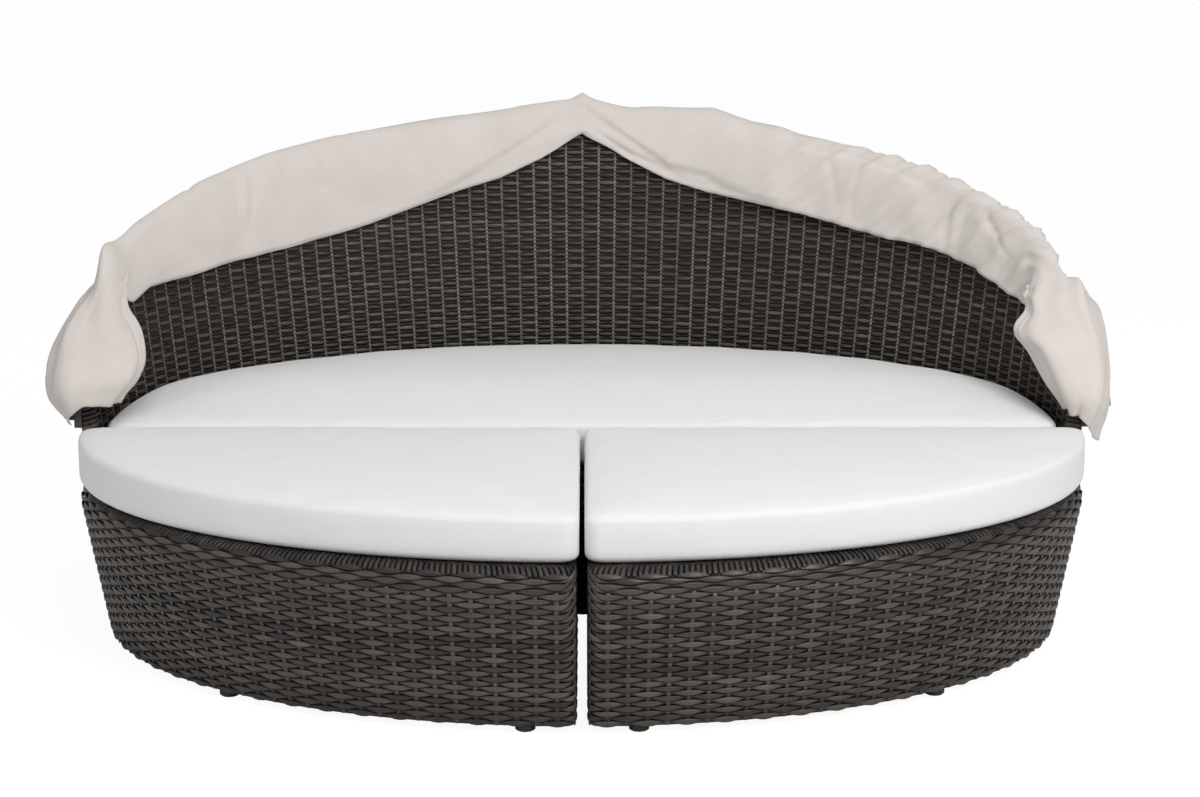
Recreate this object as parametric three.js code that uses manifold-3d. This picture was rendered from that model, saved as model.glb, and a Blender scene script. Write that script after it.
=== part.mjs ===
// An oval outdoor daybed: a half-oval sofa with a curved woven backrest, two quarter-oval
// ottomans, three cushions and a canopy that folds back over the backrest on three bows.
// Millimetres, +Z up, the front towards -Y and the right-hand side towards +X.
import * as THREE from 'three';
import { mergeVertices } from 'three/addons/utils/BufferGeometryUtils.js';
import Module from 'manifold-3d';

const wasm = await Module();
wasm.setup();

// Driving dimensions of the whole daybed
const ovalWidth = 2100;
const ovalDepth = 1554;
const seatLevel = 330;
const rimLevel = 953;
const sideTaper = 50;
const moduleGap = 18;
const fitGap = 0.3;
const cutOverrun = 2;

// Feet
const footHeight = 14;
const footRadius = 20;
const footEdge = 3;
const footSides = 10;
const footAngleShares = { sofa: [0.09, 0.55, 1, 1.45, 1.91], ottoman: [0.09, 0.5, 0.93] };

// Woven skirt of a base module
const weaveThickness = 6;
const cornerRadius = 22;
const ottomanShoulder = 40;
const sofaShoulder = 5;
const straightShoulder = 12;
const ottomanLip = 24;
const sofaLip = 2;
const straightLip = 31;
const shoulderSteps = 3;

// Tube frame of a base module
const railWidth = 40;
const railHeight = 20;
const uprightWidth = 20;
const uprightShare = 0.65;
const uprightThicknessShare = 0.7;
const barWidth = 30;
const barSpacing = 290;

// Seat deck
const deckThickness = 6;
const deckSeatShare = 0.75;

// Backrest
const backCore = 20;
const backLean = 100;
const endLeanShare = 0.745;
const rimFullnessShares = [1.6, 0.42];
const hoopRadius = 12;
const wrapRadius = 19;
const ribRadius = 9;
const ribCount = 9;
const backWeaveOffset = 14.5;
const backWeaveThickness = 5;
const midRailLevel = 640;
const rimSteps = 11;
const rimSweepSteps = 38;
const rimSpreadShare = 1.7;

// Canopy pivots
const pivotLevel = 440;
const pivotSetback = 25;
const saddleStandOff = 8.4;
const saddleDepth = 16;
const saddleHalfWidth = 16;
const saddleHalfHeight = 24;
const boltRadius = 4;
const holeClearance = 0.3;
const boltEmbed = 7;
const headRadius = 7.5;
const headHeight = 5;
const washerRadius = 10;
const washerThickness = 1.5;
const headSides = 6;
const roundSides = 12;

// Canopy bows
const bowOutset = 35;
const bowClearance = 8.3;
const bowFullnessShare = 2.2;
const bowTubeRadius = 8;
const eyeThickness = 4;
const eyeRadius = 11;
const strapHalfWidth = 6.5;
const strapLength = 146;
const joggleLength = 30;
const connectorRadius = 10.3;
const connectorLength = 90;
const bowNames = ['rear', 'mid', 'front'];
const bowAngleShares = [0.229, 0.29, 0.351];

// Cushions
const cushionThickness = 92;
const sofaCushionThickness = 122;
const cushionCrown = 16;
const cushionDrawIn = 7;
const ottomanCushionSetback = 50;
const ottomanCushionOverhang = 2;
const sofaCushionSideGap = 3.5;
const sofaCushionBackGap = 23.5;
const cushionCorner = 34;
const ottomanCushionEdge = 9;
const sofaCushionEdge = 10;
const cushionRoll = 14;
const crownReachShare = 0.42;

// Canopy cloth
const clothThickness = 4;
const clothClearance = 6;
const clothReachShare = 0.782;
const rimSlantShare = 0.6;
const hemApexLevel = 936;
const hemDrop = 181;
const hemDropReach = 400;
const hemCurveShare = 0.55;
const apexRise = 26;
const apexReach = 60;
const flapFoldDepth = 7;
const flapFoldCount = 13;
const swagDepth = 45;
const curtainLength = 190;
const curtainFoldDepth = 9;
const curtainFoldCount = 11;
const gatherTop = 770;
const gatherFoldDepth = 6;
const gatherFoldCount = 6;
const gatherHemLevels = { inside: 480, front: 482, outside: 418 };
const gatherWidths = { foot: 72, belly: 84, neck: 66, top: 52 };
const gatherLevels = { foot: 418, belly: 530, neck: 650, top: gatherTop };
const gatherInnerShare = 1.12;
const gatherStartShare = 0.417;
const gatherSweepShare = 0.694;
const flapSteps = { across: 28, along: 8 };
const drapeSteps = { across: 24, along: 8 };
const gatherSteps = { across: 14, along: 7 };

const colours = {
  wicker: 0x3a332f,
  deck: 0x2e2825,
  frame: 0x4a4642,
  foot: 0x181716,
  bow: 0x4b3f38,
  steel: 0x9a9a98,
  washer: 0x222222,
  cushion: 0xe6e6e4,
  canopy: 0xd0cac6,
};

function material(colour, roughness, metalness) {
  return new THREE.MeshStandardMaterial({ color: colour, roughness, metalness });
}

const finishes = {
  wicker: () => material(colours.wicker, 0.55, 0),
  deck: () => material(colours.deck, 0.6, 0),
  frame: () => material(colours.frame, 0.45, 0.6),
  foot: () => material(colours.foot, 0.7, 0),
  bow: () => material(colours.bow, 0.4, 0.5),
  steel: () => material(colours.steel, 0.3, 1),
  washer: () => material(colours.washer, 0.6, 0),
  cushion: () => material(colours.cushion, 0.95, 0),
  canopy: () => material(colours.canopy, 0.95, 0),
};

// Solids and booleans

function withoutShading(geometry) {
  const plain = geometry.clone();
  plain.deleteAttribute('normal');
  plain.deleteAttribute('uv');
  return mergeVertices(plain, fitGap / 100);
}

function signedVolume(geometry) {
  const at = geometry.attributes.position;
  const index = geometry.index.array;
  const [a, b, c] = [new THREE.Vector3(), new THREE.Vector3(), new THREE.Vector3()];
  let total = 0;
  for (let i = 0; i < index.length; i += 3) {
    a.fromBufferAttribute(at, index[i]);
    b.fromBufferAttribute(at, index[i + 1]);
    c.fromBufferAttribute(at, index[i + 2]);
    total += a.dot(b.cross(c));
  }
  return total;
}

function facingOut(geometry) {
  if (signedVolume(geometry) < 0) {
    const index = geometry.index.array;
    for (let i = 0; i < index.length; i += 3) {
      [index[i + 1], index[i + 2]] = [index[i + 2], index[i + 1]];
    }
  }
  return geometry;
}

function toSolid(geometry) {
  const merged = facingOut(withoutShading(geometry));
  return new wasm.Manifold(new wasm.Mesh({
    numProp: 3,
    vertProperties: new Float32Array(merged.attributes.position.array),
    triVerts: new Uint32Array(merged.index.array),
  }));
}

function toGeometry(solid) {
  const mesh = solid.getMesh();
  const geometry = new THREE.BufferGeometry();
  geometry.setAttribute('position', new THREE.BufferAttribute(new Float32Array(mesh.vertProperties), 3));
  geometry.setIndex(new THREE.BufferAttribute(new Uint32Array(mesh.triVerts), 1));
  return geometry;
}

function joined(geometries) {
  return geometries.map(toSolid).reduce((whole, next) => whole.add(next));
}

function named(name, shape, finish) {
  const geometry = shape.isBufferGeometry ? shape : toGeometry(shape);
  geometry.computeVertexNormals();
  const mesh = new THREE.Mesh(geometry, finish());
  mesh.name = name;
  return mesh;
}

// A closed body through rings of points. The rings run end to end with a fan on each
// end, or come back to the first ring when looped.
function loft(rings, looped = false) {
  const size = rings[0].length;
  const positions = [];
  rings.forEach((ring) => ring.forEach((p) => positions.push(p.x, p.y, p.z)));
  const index = [];
  const spans = looped ? rings.length : rings.length - 1;
  for (let i = 0; i < spans; i += 1) {
    const here = i * size;
    const next = ((i + 1) % rings.length) * size;
    for (let j = 0; j < size; j += 1) {
      const k = (j + 1) % size;
      index.push(here + j, here + k, next + k, here + j, next + k, next + j);
    }
  }
  if (!looped) {
    [0, rings.length - 1].forEach((end) => {
      const middle = new THREE.Vector3();
      rings[end].forEach((p) => middle.add(p));
      middle.divideScalar(size);
      const centre = positions.length / 3;
      positions.push(middle.x, middle.y, middle.z);
      for (let j = 0; j < size; j += 1) {
        const [p, q] = [end * size + j, end * size + ((j + 1) % size)];
        index.push(...(end === 0 ? [centre, q, p] : [centre, p, q]));
      }
    });
  }
  const geometry = new THREE.BufferGeometry();
  geometry.setAttribute('position', new THREE.BufferAttribute(new Float32Array(positions), 3));
  geometry.setIndex(new THREE.BufferAttribute(new Uint32Array(index), 1));
  return facingOut(geometry);
}

// A tube along a smooth path
function sweep(points, radius, { sides, steps }) {
  const path = new THREE.CatmullRomCurve3(points, false, 'centripetal');
  const outline = new THREE.Shape().setFromPoints(Array.from({ length: sides }, (_, i) => {
    const turn = (2 * Math.PI * i) / sides;
    return new THREE.Vector2(radius * Math.cos(turn), radius * Math.sin(turn));
  }));
  return new THREE.ExtrudeGeometry(outline, { steps, curveSegments: 1, bevelEnabled: false, extrudePath: path });
}

// A straight bar of rectangular section between two points
function bar(from, to, width, height) {
  const along = new THREE.Vector3().subVectors(to, from);
  const geometry = new THREE.BoxGeometry(width, height, along.length());
  const turn = new THREE.Quaternion().setFromUnitVectors(new THREE.Vector3(0, 0, 1), along.clone().normalize());
  geometry.applyQuaternion(turn);
  return geometry.translate(...new THREE.Vector3().addVectors(from, to).divideScalar(2).toArray());
}

function rod(radius, length, sides) {
  return new THREE.CylinderGeometry(radius, radius, length, sides);
}

// Plan outlines of the modules

const halfWidth = ovalWidth / 2;
const halfDepth = ovalDepth / 2;
const sofaPlan = { halfWidth, halfDepth, edge: moduleGap / 2, quarter: false, sx: 1, sy: 1, corner: cornerRadius };
const ottomanPlan = { ...sofaPlan, quarter: true, sy: -1 };

function outlineCounts(plan) {
  return { curve: plan.quarter ? 14 : 26, straight: 1, corner: 3 };
}

// The outline of a half or quarter oval with rounded corners. Each point carries its share
// of the curved side and how far along its side it lies.
function planOutline(plan, insetCurve, insetStraight, counts = outlineCounts(plan)) {
  const a = plan.halfWidth - insetCurve;
  const b = plan.halfDepth - insetCurve;
  const edge = plan.edge + insetStraight;
  const from = Math.asin(edge / b);
  const to = plan.quarter ? Math.acos(edge / a) : Math.PI - from;
  const onCurve = (t) => new THREE.Vector2(a * Math.cos(t), b * Math.sin(t));
  const speed = (t) => Math.hypot(a * Math.sin(t), b * Math.cos(t));
  const start = from + plan.corner / speed(from);
  const stop = to - plan.corner / speed(to);
  const points = [];
  const add = (p, curve, along) => points.push({ x: p.x * plan.sx, y: p.y * plan.sy, curve, along });
  for (let i = 0; i <= counts.curve; i += 1) {
    const share = i / counts.curve;
    add(onCurve(start + (stop - start) * share), 1, share);
  }
  const corners = [onCurve(to)];
  if (plan.quarter) corners.push(new THREE.Vector2(edge, edge));
  corners.push(onCurve(from));
  corners.forEach((corner, n) => {
    const last = corners.length - 1;
    const before = n === 0
      ? onCurve(stop)
      : corner.clone().add(corners[n - 1].clone().sub(corner).setLength(plan.corner));
    const after = n === last
      ? onCurve(start)
      : corner.clone().add(corners[n + 1].clone().sub(corner).setLength(plan.corner));
    const weights = [n === 0 ? 1 : 0, n === last ? 1 : 0];
    for (let i = 1; i < counts.corner; i += 1) {
      const t = i / counts.corner;
      const p = before.clone().multiplyScalar((1 - t) ** 2)
        .add(corner.clone().multiplyScalar(2 * t * (1 - t)))
        .add(after.clone().multiplyScalar(t ** 2));
      add(p, weights[0] * (1 - t) + weights[1] * t, 0);
    }
    if (n < last) {
      const next = corners[n + 1].clone().add(corner.clone().sub(corners[n + 1]).setLength(plan.corner));
      for (let i = 0; i <= counts.straight; i += 1) {
        add(after.clone().lerp(next, i / counts.straight), 0, i / counts.straight);
      }
    }
  });
  return points;
}

// A ring of the plan at one place of a wall's profile, which differs on the curved side
function planRing(plan, curveAt, straightAt, counts) {
  return planOutline(plan, curveAt.inset, straightAt.inset, counts)
    .map((p) => new THREE.Vector3(p.x, p.y, THREE.MathUtils.lerp(straightAt.z, curveAt.z, p.curve)));
}

function planPlate(plan, insetCurve, insetStraight, bottom, top) {
  return loft([bottom, top].map((z) => planRing(plan, { inset: insetCurve, z }, { inset: insetStraight, z })));
}

// The wall of a skirt from its outer foot over a rounded shoulder to its lip and back
function skirtProfile(shoulder, lip, taper) {
  const centre = seatLevel - shoulder;
  const inner = Math.max(shoulder - weaveThickness, 0);
  const arc = (radius) => Array.from({ length: shoulderSteps + 1 }, (_, i) => {
    const turn = (Math.PI / 2) * (i / shoulderSteps);
    return { inset: shoulder - radius * Math.cos(turn), z: centre + radius * Math.sin(turn) };
  });
  const underside = seatLevel - weaveThickness;
  const innerArc = inner > 0
    ? arc(inner)
    : arc(shoulder).map((p, i) => ({ inset: weaveThickness + (lip * i) / (2 * shoulderSteps + 2), z: underside }));
  return [
    { inset: taper, z: footHeight },
    ...arc(shoulder),
    { inset: shoulder + lip, z: seatLevel },
    { inset: shoulder + lip, z: underside },
    ...innerArc.reverse(),
    { inset: taper + weaveThickness, z: footHeight },
  ];
}

function skirt(plan, shoulder, lip) {
  const curve = skirtProfile(shoulder, lip, sideTaper);
  const straight = skirtProfile(straightShoulder, straightLip, 0);
  return loft(curve.map((p, i) => planRing(plan, p, straight[i])), true);
}

// The frame of a module: two rails, uprights between them and bars under the deck
const railInset = weaveThickness + fitGap;
const topRailTop = seatLevel - weaveThickness - fitGap;
const topRailBottom = topRailTop - railHeight;
const lowRailBottom = footHeight + fitGap;
const taperAtRail = (sideTaper * railHeight) / (seatLevel - footHeight - ottomanShoulder);
const sofaRailInset = railInset + taperAtRail;

function railRing(plan, insetCurve, insetStraight, bottom, top, width) {
  const ring = (extra, z) => planRing(plan, { inset: insetCurve + extra, z }, { inset: insetStraight + extra, z });
  return loft([ring(0, bottom), ring(width, bottom), ring(width, top), ring(0, top)], true);
}

function moduleFrame(plan, topInset) {
  const lowInset = sideTaper + railInset;
  const parts = [
    railRing(plan, topInset, straightShoulder, topRailBottom, topRailTop, railWidth),
    railRing(plan, lowInset, railInset, lowRailBottom, lowRailBottom + railHeight, uprightWidth),
  ];
  const counts = { curve: 6, straight: 3, corner: 2 };
  const lowPath = planOutline(plan, lowInset + uprightWidth * uprightShare, railInset + uprightWidth / 2, counts);
  const topPath = planOutline(plan, topInset + railWidth / 2, straightShoulder + uprightWidth / 2, counts);
  const between = railHeight / 2;
  lowPath.forEach((p, i) => {
    if (p.curve !== 1 && p.curve !== 0) return;
    const q = topPath[i];
    parts.push(bar(
      new THREE.Vector3(p.x, p.y, lowRailBottom + between),
      new THREE.Vector3(q.x, q.y, topRailBottom + between),
      uprightWidth * uprightThicknessShare,
      uprightWidth * uprightThicknessShare,
    ));
  });
  // bars run front to back inside the top rail
  const inside = planPlate(plan, topInset + railWidth / 2, straightShoulder + railWidth / 2, topRailBottom, topRailTop);
  const reach = plan.halfWidth - topInset;
  const bars = [];
  const first = plan.quarter ? barSpacing : -Math.floor(reach / barSpacing) * barSpacing;
  for (let x = first; x < reach; x += barSpacing) {
    const slab = new THREE.BoxGeometry(barWidth, plan.halfDepth * 2, railHeight);
    slab.translate(x * plan.sx, plan.halfDepth * plan.sy, (topRailBottom + topRailTop) / 2);
    bars.push(slab);
  }
  const trimmed = joined(bars).intersect(toSolid(inside));
  return joined(parts).add(trimmed);
}

function seatDeck(plan, insetCurve) {
  const insetStraight = straightShoulder + straightLip + fitGap;
  return planPlate(plan, insetCurve, insetStraight, seatLevel - deckThickness, seatLevel);
}

function foot() {
  const half = footRadius - footEdge;
  const points = [
    new THREE.Vector2(0, 0),
    new THREE.Vector2(half, 0),
    new THREE.Vector2(footRadius, footEdge),
    new THREE.Vector2(footRadius, footHeight),
    new THREE.Vector2(0, footHeight),
  ];
  return withoutShading(new THREE.LatheGeometry(points, footSides)).rotateX(Math.PI / 2);
}

function placedFeet(plan, prefix, angleShares) {
  const inset = sideTaper + railInset + footRadius;
  const edge = plan.edge + railInset + footRadius;
  const places = angleShares.map((share) => {
    const angle = (Math.PI / 2) * share;
    return [(plan.halfWidth - inset) * Math.cos(angle), (plan.halfDepth - inset) * Math.sin(angle)];
  });
  places.push([plan.quarter ? edge : 0, edge]);
  return places.map(([x, y], i) => {
    const mesh = named(`${prefix}_foot_${i + 1}`, facingOut(foot()), finishes.foot);
    mesh.position.set(x * plan.sx, y * plan.sy, 0);
    return mesh;
  });
}

// Backrest

const backRise = rimLevel - seatLevel;
const postAngle = Math.asin(pivotSetback / halfDepth);

function rimHeight(angle) {
  const share = Math.min(angle, Math.PI - angle) / (Math.PI / 2);
  const [bend, ease] = rimFullnessShares;
  return seatLevel + backRise * (1 - (1 - share) ** bend) ** ease;
}

function leanAt(angle) {
  return THREE.MathUtils.lerp(endLeanShare, 1, Math.sin(angle) ** 2) * (backLean / backRise);
}

function backPoint(angle, z, offset = 0) {
  const out = offset - backCore + leanAt(angle) * (z - seatLevel);
  return new THREE.Vector3((halfWidth + out) * Math.cos(angle), (halfDepth + out) * Math.sin(angle), z);
}

// The rim runs up one post, along the back and down the other post. All that follows it
// is swept on the same path from below the seat and trimmed level at its own foot.

function rimAngle(i) {
  return postAngle + (Math.PI / 2 - postAngle) * (i / rimSteps) ** rimSpreadShare;
}

function acrossMiddle(points) {
  return points.concat(points.slice(0, -1).reverse().map((p) => new THREE.Vector3(-p.x, p.y, p.z)));
}

const rimPath = (() => {
  const levels = [seatLevel - railWidth, (seatLevel + pivotLevel) / 2, pivotLevel];
  const side = levels.map((z) => backPoint(postAngle, z));
  for (let i = 0; i <= rimSteps; i += 1) {
    side.push(backPoint(rimAngle(i), rimHeight(rimAngle(i))));
  }
  return acrossMiddle(side);
})();

function alongRim(radius, sides) {
  return toSolid(sweep(rimPath, radius, { sides, steps: rimSweepSteps }));
}

const hoopSides = 8;
const wrapSides = 8;
const hoopBottom = topRailTop + fitGap;
const wrapBottom = seatLevel + fitGap;
const up = [0, 0, 1];
const ribAngles = Array.from({ length: ribCount }, (_, i) => Math.PI * ((i + 1) / (ribCount + 1)));

function ribs(radius) {
  return ribAngles.map((angle) => {
    const foot = backPoint(angle, hoopBottom - ribRadius);
    const head = backPoint(angle, rimHeight(angle));
    return toSolid(bar(foot, head, 2 * radius, 2 * radius));
  });
}

function backrestFrame() {
  const spans = 20;
  const rail = Array.from({ length: spans + 1 }, (_, i) => (
    backPoint(THREE.MathUtils.lerp(ribAngles[0], Math.PI - ribAngles[0], i / spans), midRailLevel)
  ));
  const midRail = toSolid(sweep(rail, ribRadius, { sides: 6, steps: spans }));
  const frame = [alongRim(hoopRadius, hoopSides), midRail, ...ribs(ribRadius)];
  return frame.reduce((whole, next) => whole.add(next)).trimByPlane(up, hoopBottom);
}

function rimWrap() {
  const sleeve = alongRim(wrapRadius, wrapSides).subtract(alongRim(hoopRadius + fitGap, hoopSides));
  const opened = ribs(ribRadius + fitGap).reduce((whole, rib) => whole.subtract(rib), sleeve);
  return opened.trimByPlane(up, wrapBottom);
}

// One woven face of the backrest. Its top edge keeps the wrap's radius from the rim's line.
function backWeave(offset) {
  const edge = [];
  const reach = wrapRadius + 2 * fitGap;
  const arcLength = (angle) => Math.hypot(halfWidth * Math.sin(angle), halfDepth * Math.cos(angle));
  for (let i = 0; i <= rimSteps; i += 0.5) {
    const angle = rimAngle(i);
    const step = (rimAngle(i + 0.25) - rimAngle(Math.max(i - 0.25, 0)));
    const rise = rimHeight(rimAngle(i + 0.25)) - rimHeight(rimAngle(Math.max(i - 0.25, 0)));
    const run = step * arcLength(angle);
    const length = Math.hypot(run, rise);
    const last = i === rimSteps;
    const across = last ? 0 : (reach * rise) / length;
    const down = last ? reach : (reach * run) / length;
    edge.push({ angle: angle + across / arcLength(angle), top: rimHeight(angle) - down });
  }
  const rings = edge.map(({ angle, top }) => [
    backPoint(angle, seatLevel + fitGap, offset),
    backPoint(angle, seatLevel + fitGap, offset + backWeaveThickness),
    backPoint(angle, top, offset + backWeaveThickness),
    backPoint(angle, top, offset),
  ]);
  const other = rings.slice(0, -1).reverse().map((ring) => ring.map((p) => new THREE.Vector3(-p.x, p.y, p.z)));
  return loft(rings.concat(other));
}

function largestPiece(solid) {
  return solid.decompose().sort((p, q) => q.volume() - p.volume())[0];
}

// Canopy pivots, on the right-hand side before mirroring. The saddle stands off the wrapped post.

const saddleFace = backPoint(postAngle, pivotLevel).x + wrapRadius + saddleStandOff;

function boltHole(length) {
  return rod(boltRadius + holeClearance, length, roundSides).rotateZ(Math.PI / 2);
}

function mirrored(geometry, side) {
  return facingOut(withoutShading(geometry).scale(side, 1, 1));
}

const stack = (() => {
  const places = {};
  let x = saddleFace + fitGap;
  const take = (name, thickness) => {
    places[name] = x;
    x += thickness + fitGap;
  };
  bowNames.forEach((bow) => {
    take(`washer_${bow}`, washerThickness);
    take(bow, eyeThickness);
  });
  places.head = x;
  return places;
})();

function pivotSaddle(side) {
  const block = new THREE.BoxGeometry(saddleDepth, 2 * saddleHalfWidth, 2 * saddleHalfHeight);
  block.translate(saddleFace - saddleDepth / 2, pivotSetback, pivotLevel);
  const hole = boltHole(4 * saddleDepth).translate(saddleFace, pivotSetback, pivotLevel);
  const solid = toSolid(block).subtract(alongRim(wrapRadius + fitGap, wrapSides)).subtract(toSolid(hole));
  return named(`pivot_saddle_${side.name}`, mirrored(toGeometry(largestPiece(solid)), side.sign), finishes.frame);
}

function pivotBolt(side) {
  const shankStart = saddleFace - boltEmbed;
  const shankLength = stack.head + headHeight / 2 - shankStart;
  const shank = rod(boltRadius, shankLength, roundSides).rotateZ(Math.PI / 2);
  shank.translate(shankStart + shankLength / 2, 0, 0);
  const head = rod(headRadius, headHeight, headSides).rotateZ(Math.PI / 2);
  head.translate(stack.head + headHeight / 2, 0, 0);
  const solid = joined([shank, head]).translate([0, pivotSetback, pivotLevel]);
  return named(`pivot_bolt_${side.name}`, mirrored(toGeometry(solid), side.sign), finishes.steel);
}

function pivotWasher(side, bow) {
  const disc = rod(washerRadius, washerThickness, roundSides).rotateZ(Math.PI / 2);
  const solid = toSolid(disc).subtract(toSolid(boltHole(washerThickness + cutOverrun)));
  const placed = solid.translate([stack[`washer_${bow}`] + washerThickness / 2, pivotSetback, pivotLevel]);
  return named(`pivot_washer_${bow}_${side.name}`, mirrored(toGeometry(placed), side.sign), finishes.washer);
}

// Canopy bows, modelled flat in their own X-Y plane about the pivot. They clear the rim as they turn.

const rimTop = backPoint(Math.PI / 2, rimLevel);
const rimTopReach = Math.hypot(rimTop.y - pivotSetback, rimTop.z - pivotLevel);
const bowHalfWidth = saddleFace + bowOutset;
const bowRise = rimTopReach + wrapRadius + connectorRadius + bowClearance;

function bowPoint(share) {
  const turn = (Math.PI / 2) * share;
  return new THREE.Vector3(
    bowHalfWidth * Math.cos(turn) ** (2 / bowFullnessShare),
    bowRise * Math.sin(turn) ** (2 / bowFullnessShare),
    0,
  );
}

function bowWidthAt(radius) {
  return bowHalfWidth * (1 - (radius / bowRise) ** bowFullnessShare) ** (1 / bowFullnessShare);
}

const tubeStart = strapLength + joggleLength;

const bowSteps = 34;

// The whole curve of a bow's tube, which its two halves and its connector are cut from
function wholeBow(radius) {
  const startShare = (2 / Math.PI) * Math.asin((tubeStart / bowRise) ** (bowFullnessShare / 2));
  const count = 12;
  const side = Array.from({ length: count + 1 }, (_, i) => bowPoint(startShare + (1 - startShare) * (i / count)));
  side[count].x = 0;
  return toSolid(sweep(acrossMiddle(side), radius, { sides: 8, steps: bowSteps }));
}

function bowHalf(bow, side) {
  const tube = wholeBow(bowTubeRadius).trimByPlane([1, 0, 0], fitGap);
  const middle = stack[bow] + eyeThickness / 2;
  const strap = new THREE.BoxGeometry(eyeThickness, strapLength, 2 * strapHalfWidth);
  strap.translate(middle, strapLength / 2, 0);
  const joggle = bar(
    new THREE.Vector3(middle, strapLength - eyeThickness, 0),
    new THREE.Vector3(bowWidthAt(tubeStart), tubeStart + eyeThickness, 0),
    2 * strapHalfWidth,
    eyeThickness,
  );
  const eye = rod(eyeRadius, eyeThickness, roundSides).rotateZ(Math.PI / 2).translate(middle, 0, 0);
  const hole = boltHole(eyeThickness + cutOverrun).translate(middle, 0, 0);
  const solid = joined([strap, joggle, eye]).add(tube).subtract(toSolid(hole));
  return named(`${bow}_bow_tube_${side.name}`, mirrored(toGeometry(solid), side.sign), finishes.bow);
}

function bowConnector(bow) {
  const half = connectorLength / 2;
  const ends = [-half, 0, half].map((x) => (
    new THREE.Vector3(x, bowRise * (1 - (Math.abs(x) / bowHalfWidth) ** bowFullnessShare) ** (1 / bowFullnessShare), 0)
  ));
  const sleeve = toSolid(sweep(ends, connectorRadius, { sides: 8, steps: 2 })).subtract(wholeBow(bowTubeRadius + fitGap));
  return named(`${bow}_bow_connector`, sleeve, finishes.bow);
}

// Cushions: crowned on top, rolled at the edges and drawn in between the corners

function cushion(name, plan, bottom, thickness) {
  const counts = { curve: 22, straight: 8, corner: 4 };
  const top = bottom + thickness;
  const crownReach = plan.halfDepth * crownReachShare;
  const levels = [
    { inset: cushionRoll, z: bottom, draw: 0 },
    { inset: cushionRoll / 4, z: bottom + cushionRoll / 2, draw: 0.4 },
    { inset: 0, z: bottom + thickness / 2, draw: 1 },
    { inset: cushionRoll / 4, z: top - cushionRoll / 2, draw: 0.4 },
    { inset: cushionRoll, z: top, draw: 0.2 },
    { inset: crownReach * 0.2, z: top + cushionCrown * 0.55, draw: 0 },
    { inset: crownReach * 0.5, z: top + cushionCrown * 0.88, draw: 0 },
    { inset: crownReach, z: top + cushionCrown, draw: 0 },
  ];
  const rings = levels.map((level) => {
    const outline = planOutline(plan, level.inset, level.inset, counts);
    const middle = new THREE.Vector2();
    outline.forEach((p) => middle.add(p));
    middle.divideScalar(outline.length);
    return outline.map((p) => {
      const pull = cushionDrawIn * level.draw * Math.sin(Math.PI * p.along) * (1 - p.curve * 0.6);
      const inward = new THREE.Vector2(middle.x - p.x, middle.y - p.y).setLength(pull);
      return new THREE.Vector3(p.x + inward.x, p.y + inward.y, level.z);
    });
  });
  return named(name, loft(rings), finishes.cushion);
}

// Canopy cloth, folded back: a thin closed sheet over a grid of points

const clothReach = bowHalfWidth * clothReachShare;

function sheet(name, at, { across, along }) {
  const grid = [];
  const small = 1 / (8 * Math.max(across, along));
  for (let i = 0; i <= across; i += 1) {
    for (let j = 0; j <= along; j += 1) {
      const [u, v] = [i / across, j / along];
      const point = at(u, v);
      const du = at(Math.min(u + small, 1), v).sub(at(Math.max(u - small, 0), v));
      const dv = at(u, Math.min(v + small, 1)).sub(at(u, Math.max(v - small, 0)));
      const normal = du.cross(dv).setLength(clothThickness / 2);
      grid.push([point.clone().add(normal), point.clone().sub(normal)]);
    }
  }
  const row = along + 1;
  const positions = grid.flatMap(([p, q]) => [...p.toArray(), ...q.toArray()]);
  const index = [];
  const quad = (a, b, c, d) => index.push(a, b, c, a, c, d);
  for (let i = 0; i < across; i += 1) {
    for (let j = 0; j < along; j += 1) {
      const [a, b, c, d] = [i * row + j, (i + 1) * row + j, (i + 1) * row + j + 1, i * row + j + 1].map((n) => 2 * n);
      quad(a, b, c, d);
      quad(d + 1, c + 1, b + 1, a + 1);
    }
  }
  for (let i = 0; i < across; i += 1) {
    [[0, 1], [along, -1]].forEach(([j, turn]) => {
      const [a, b] = [2 * (i * row + j), 2 * ((i + 1) * row + j)];
      if (turn > 0) quad(a, a + 1, b + 1, b);
      else quad(b, b + 1, a + 1, a);
    });
  }
  for (let j = 0; j < along; j += 1) {
    [[0, -1], [across, 1]].forEach(([i, turn]) => {
      const [a, b] = [2 * (i * row + j), 2 * (i * row + j + 1)];
      if (turn > 0) quad(a, a + 1, b + 1, b);
      else quad(b, b + 1, a + 1, a);
    });
  }
  const geometry = new THREE.BufferGeometry();
  geometry.setAttribute('position', new THREE.BufferAttribute(new Float32Array(positions), 3));
  geometry.setIndex(new THREE.BufferAttribute(new Uint32Array(index), 1));
  return named(name, facingOut(geometry), finishes.canopy);
}

function bowRadiusAt(x) {
  return bowRise * (1 - (Math.abs(x) / bowHalfWidth) ** bowFullnessShare) ** (1 / bowFullnessShare);
}

function bowAngle(bow) {
  return (Math.PI / 2) * bowAngleShares[bowNames.indexOf(bow)];
}

function bowAt(bow, x) {
  const turn = bowAngle(bow);
  const radius = bowRadiusAt(x);
  return { y: pivotSetback + radius * Math.cos(turn), z: pivotLevel + radius * Math.sin(turn), radius };
}

// The rim's angle where it reaches a given distance from the middle, or a given height
function rimAngleWhere(measure, target) {
  let [low, high] = [postAngle, Math.PI / 2];
  for (let i = 0; i < 40; i += 1) {
    const middle = (low + high) / 2;
    if (measure(middle) < target) low = middle;
    else high = middle;
  }
  return (low + high) / 2;
}

function rimAtX(x) {
  const point = (angle) => backPoint(angle, rimHeight(angle));
  const angle = rimAngleWhere((t) => -point(t).x, -Math.abs(x));
  return point(angle);
}

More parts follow.
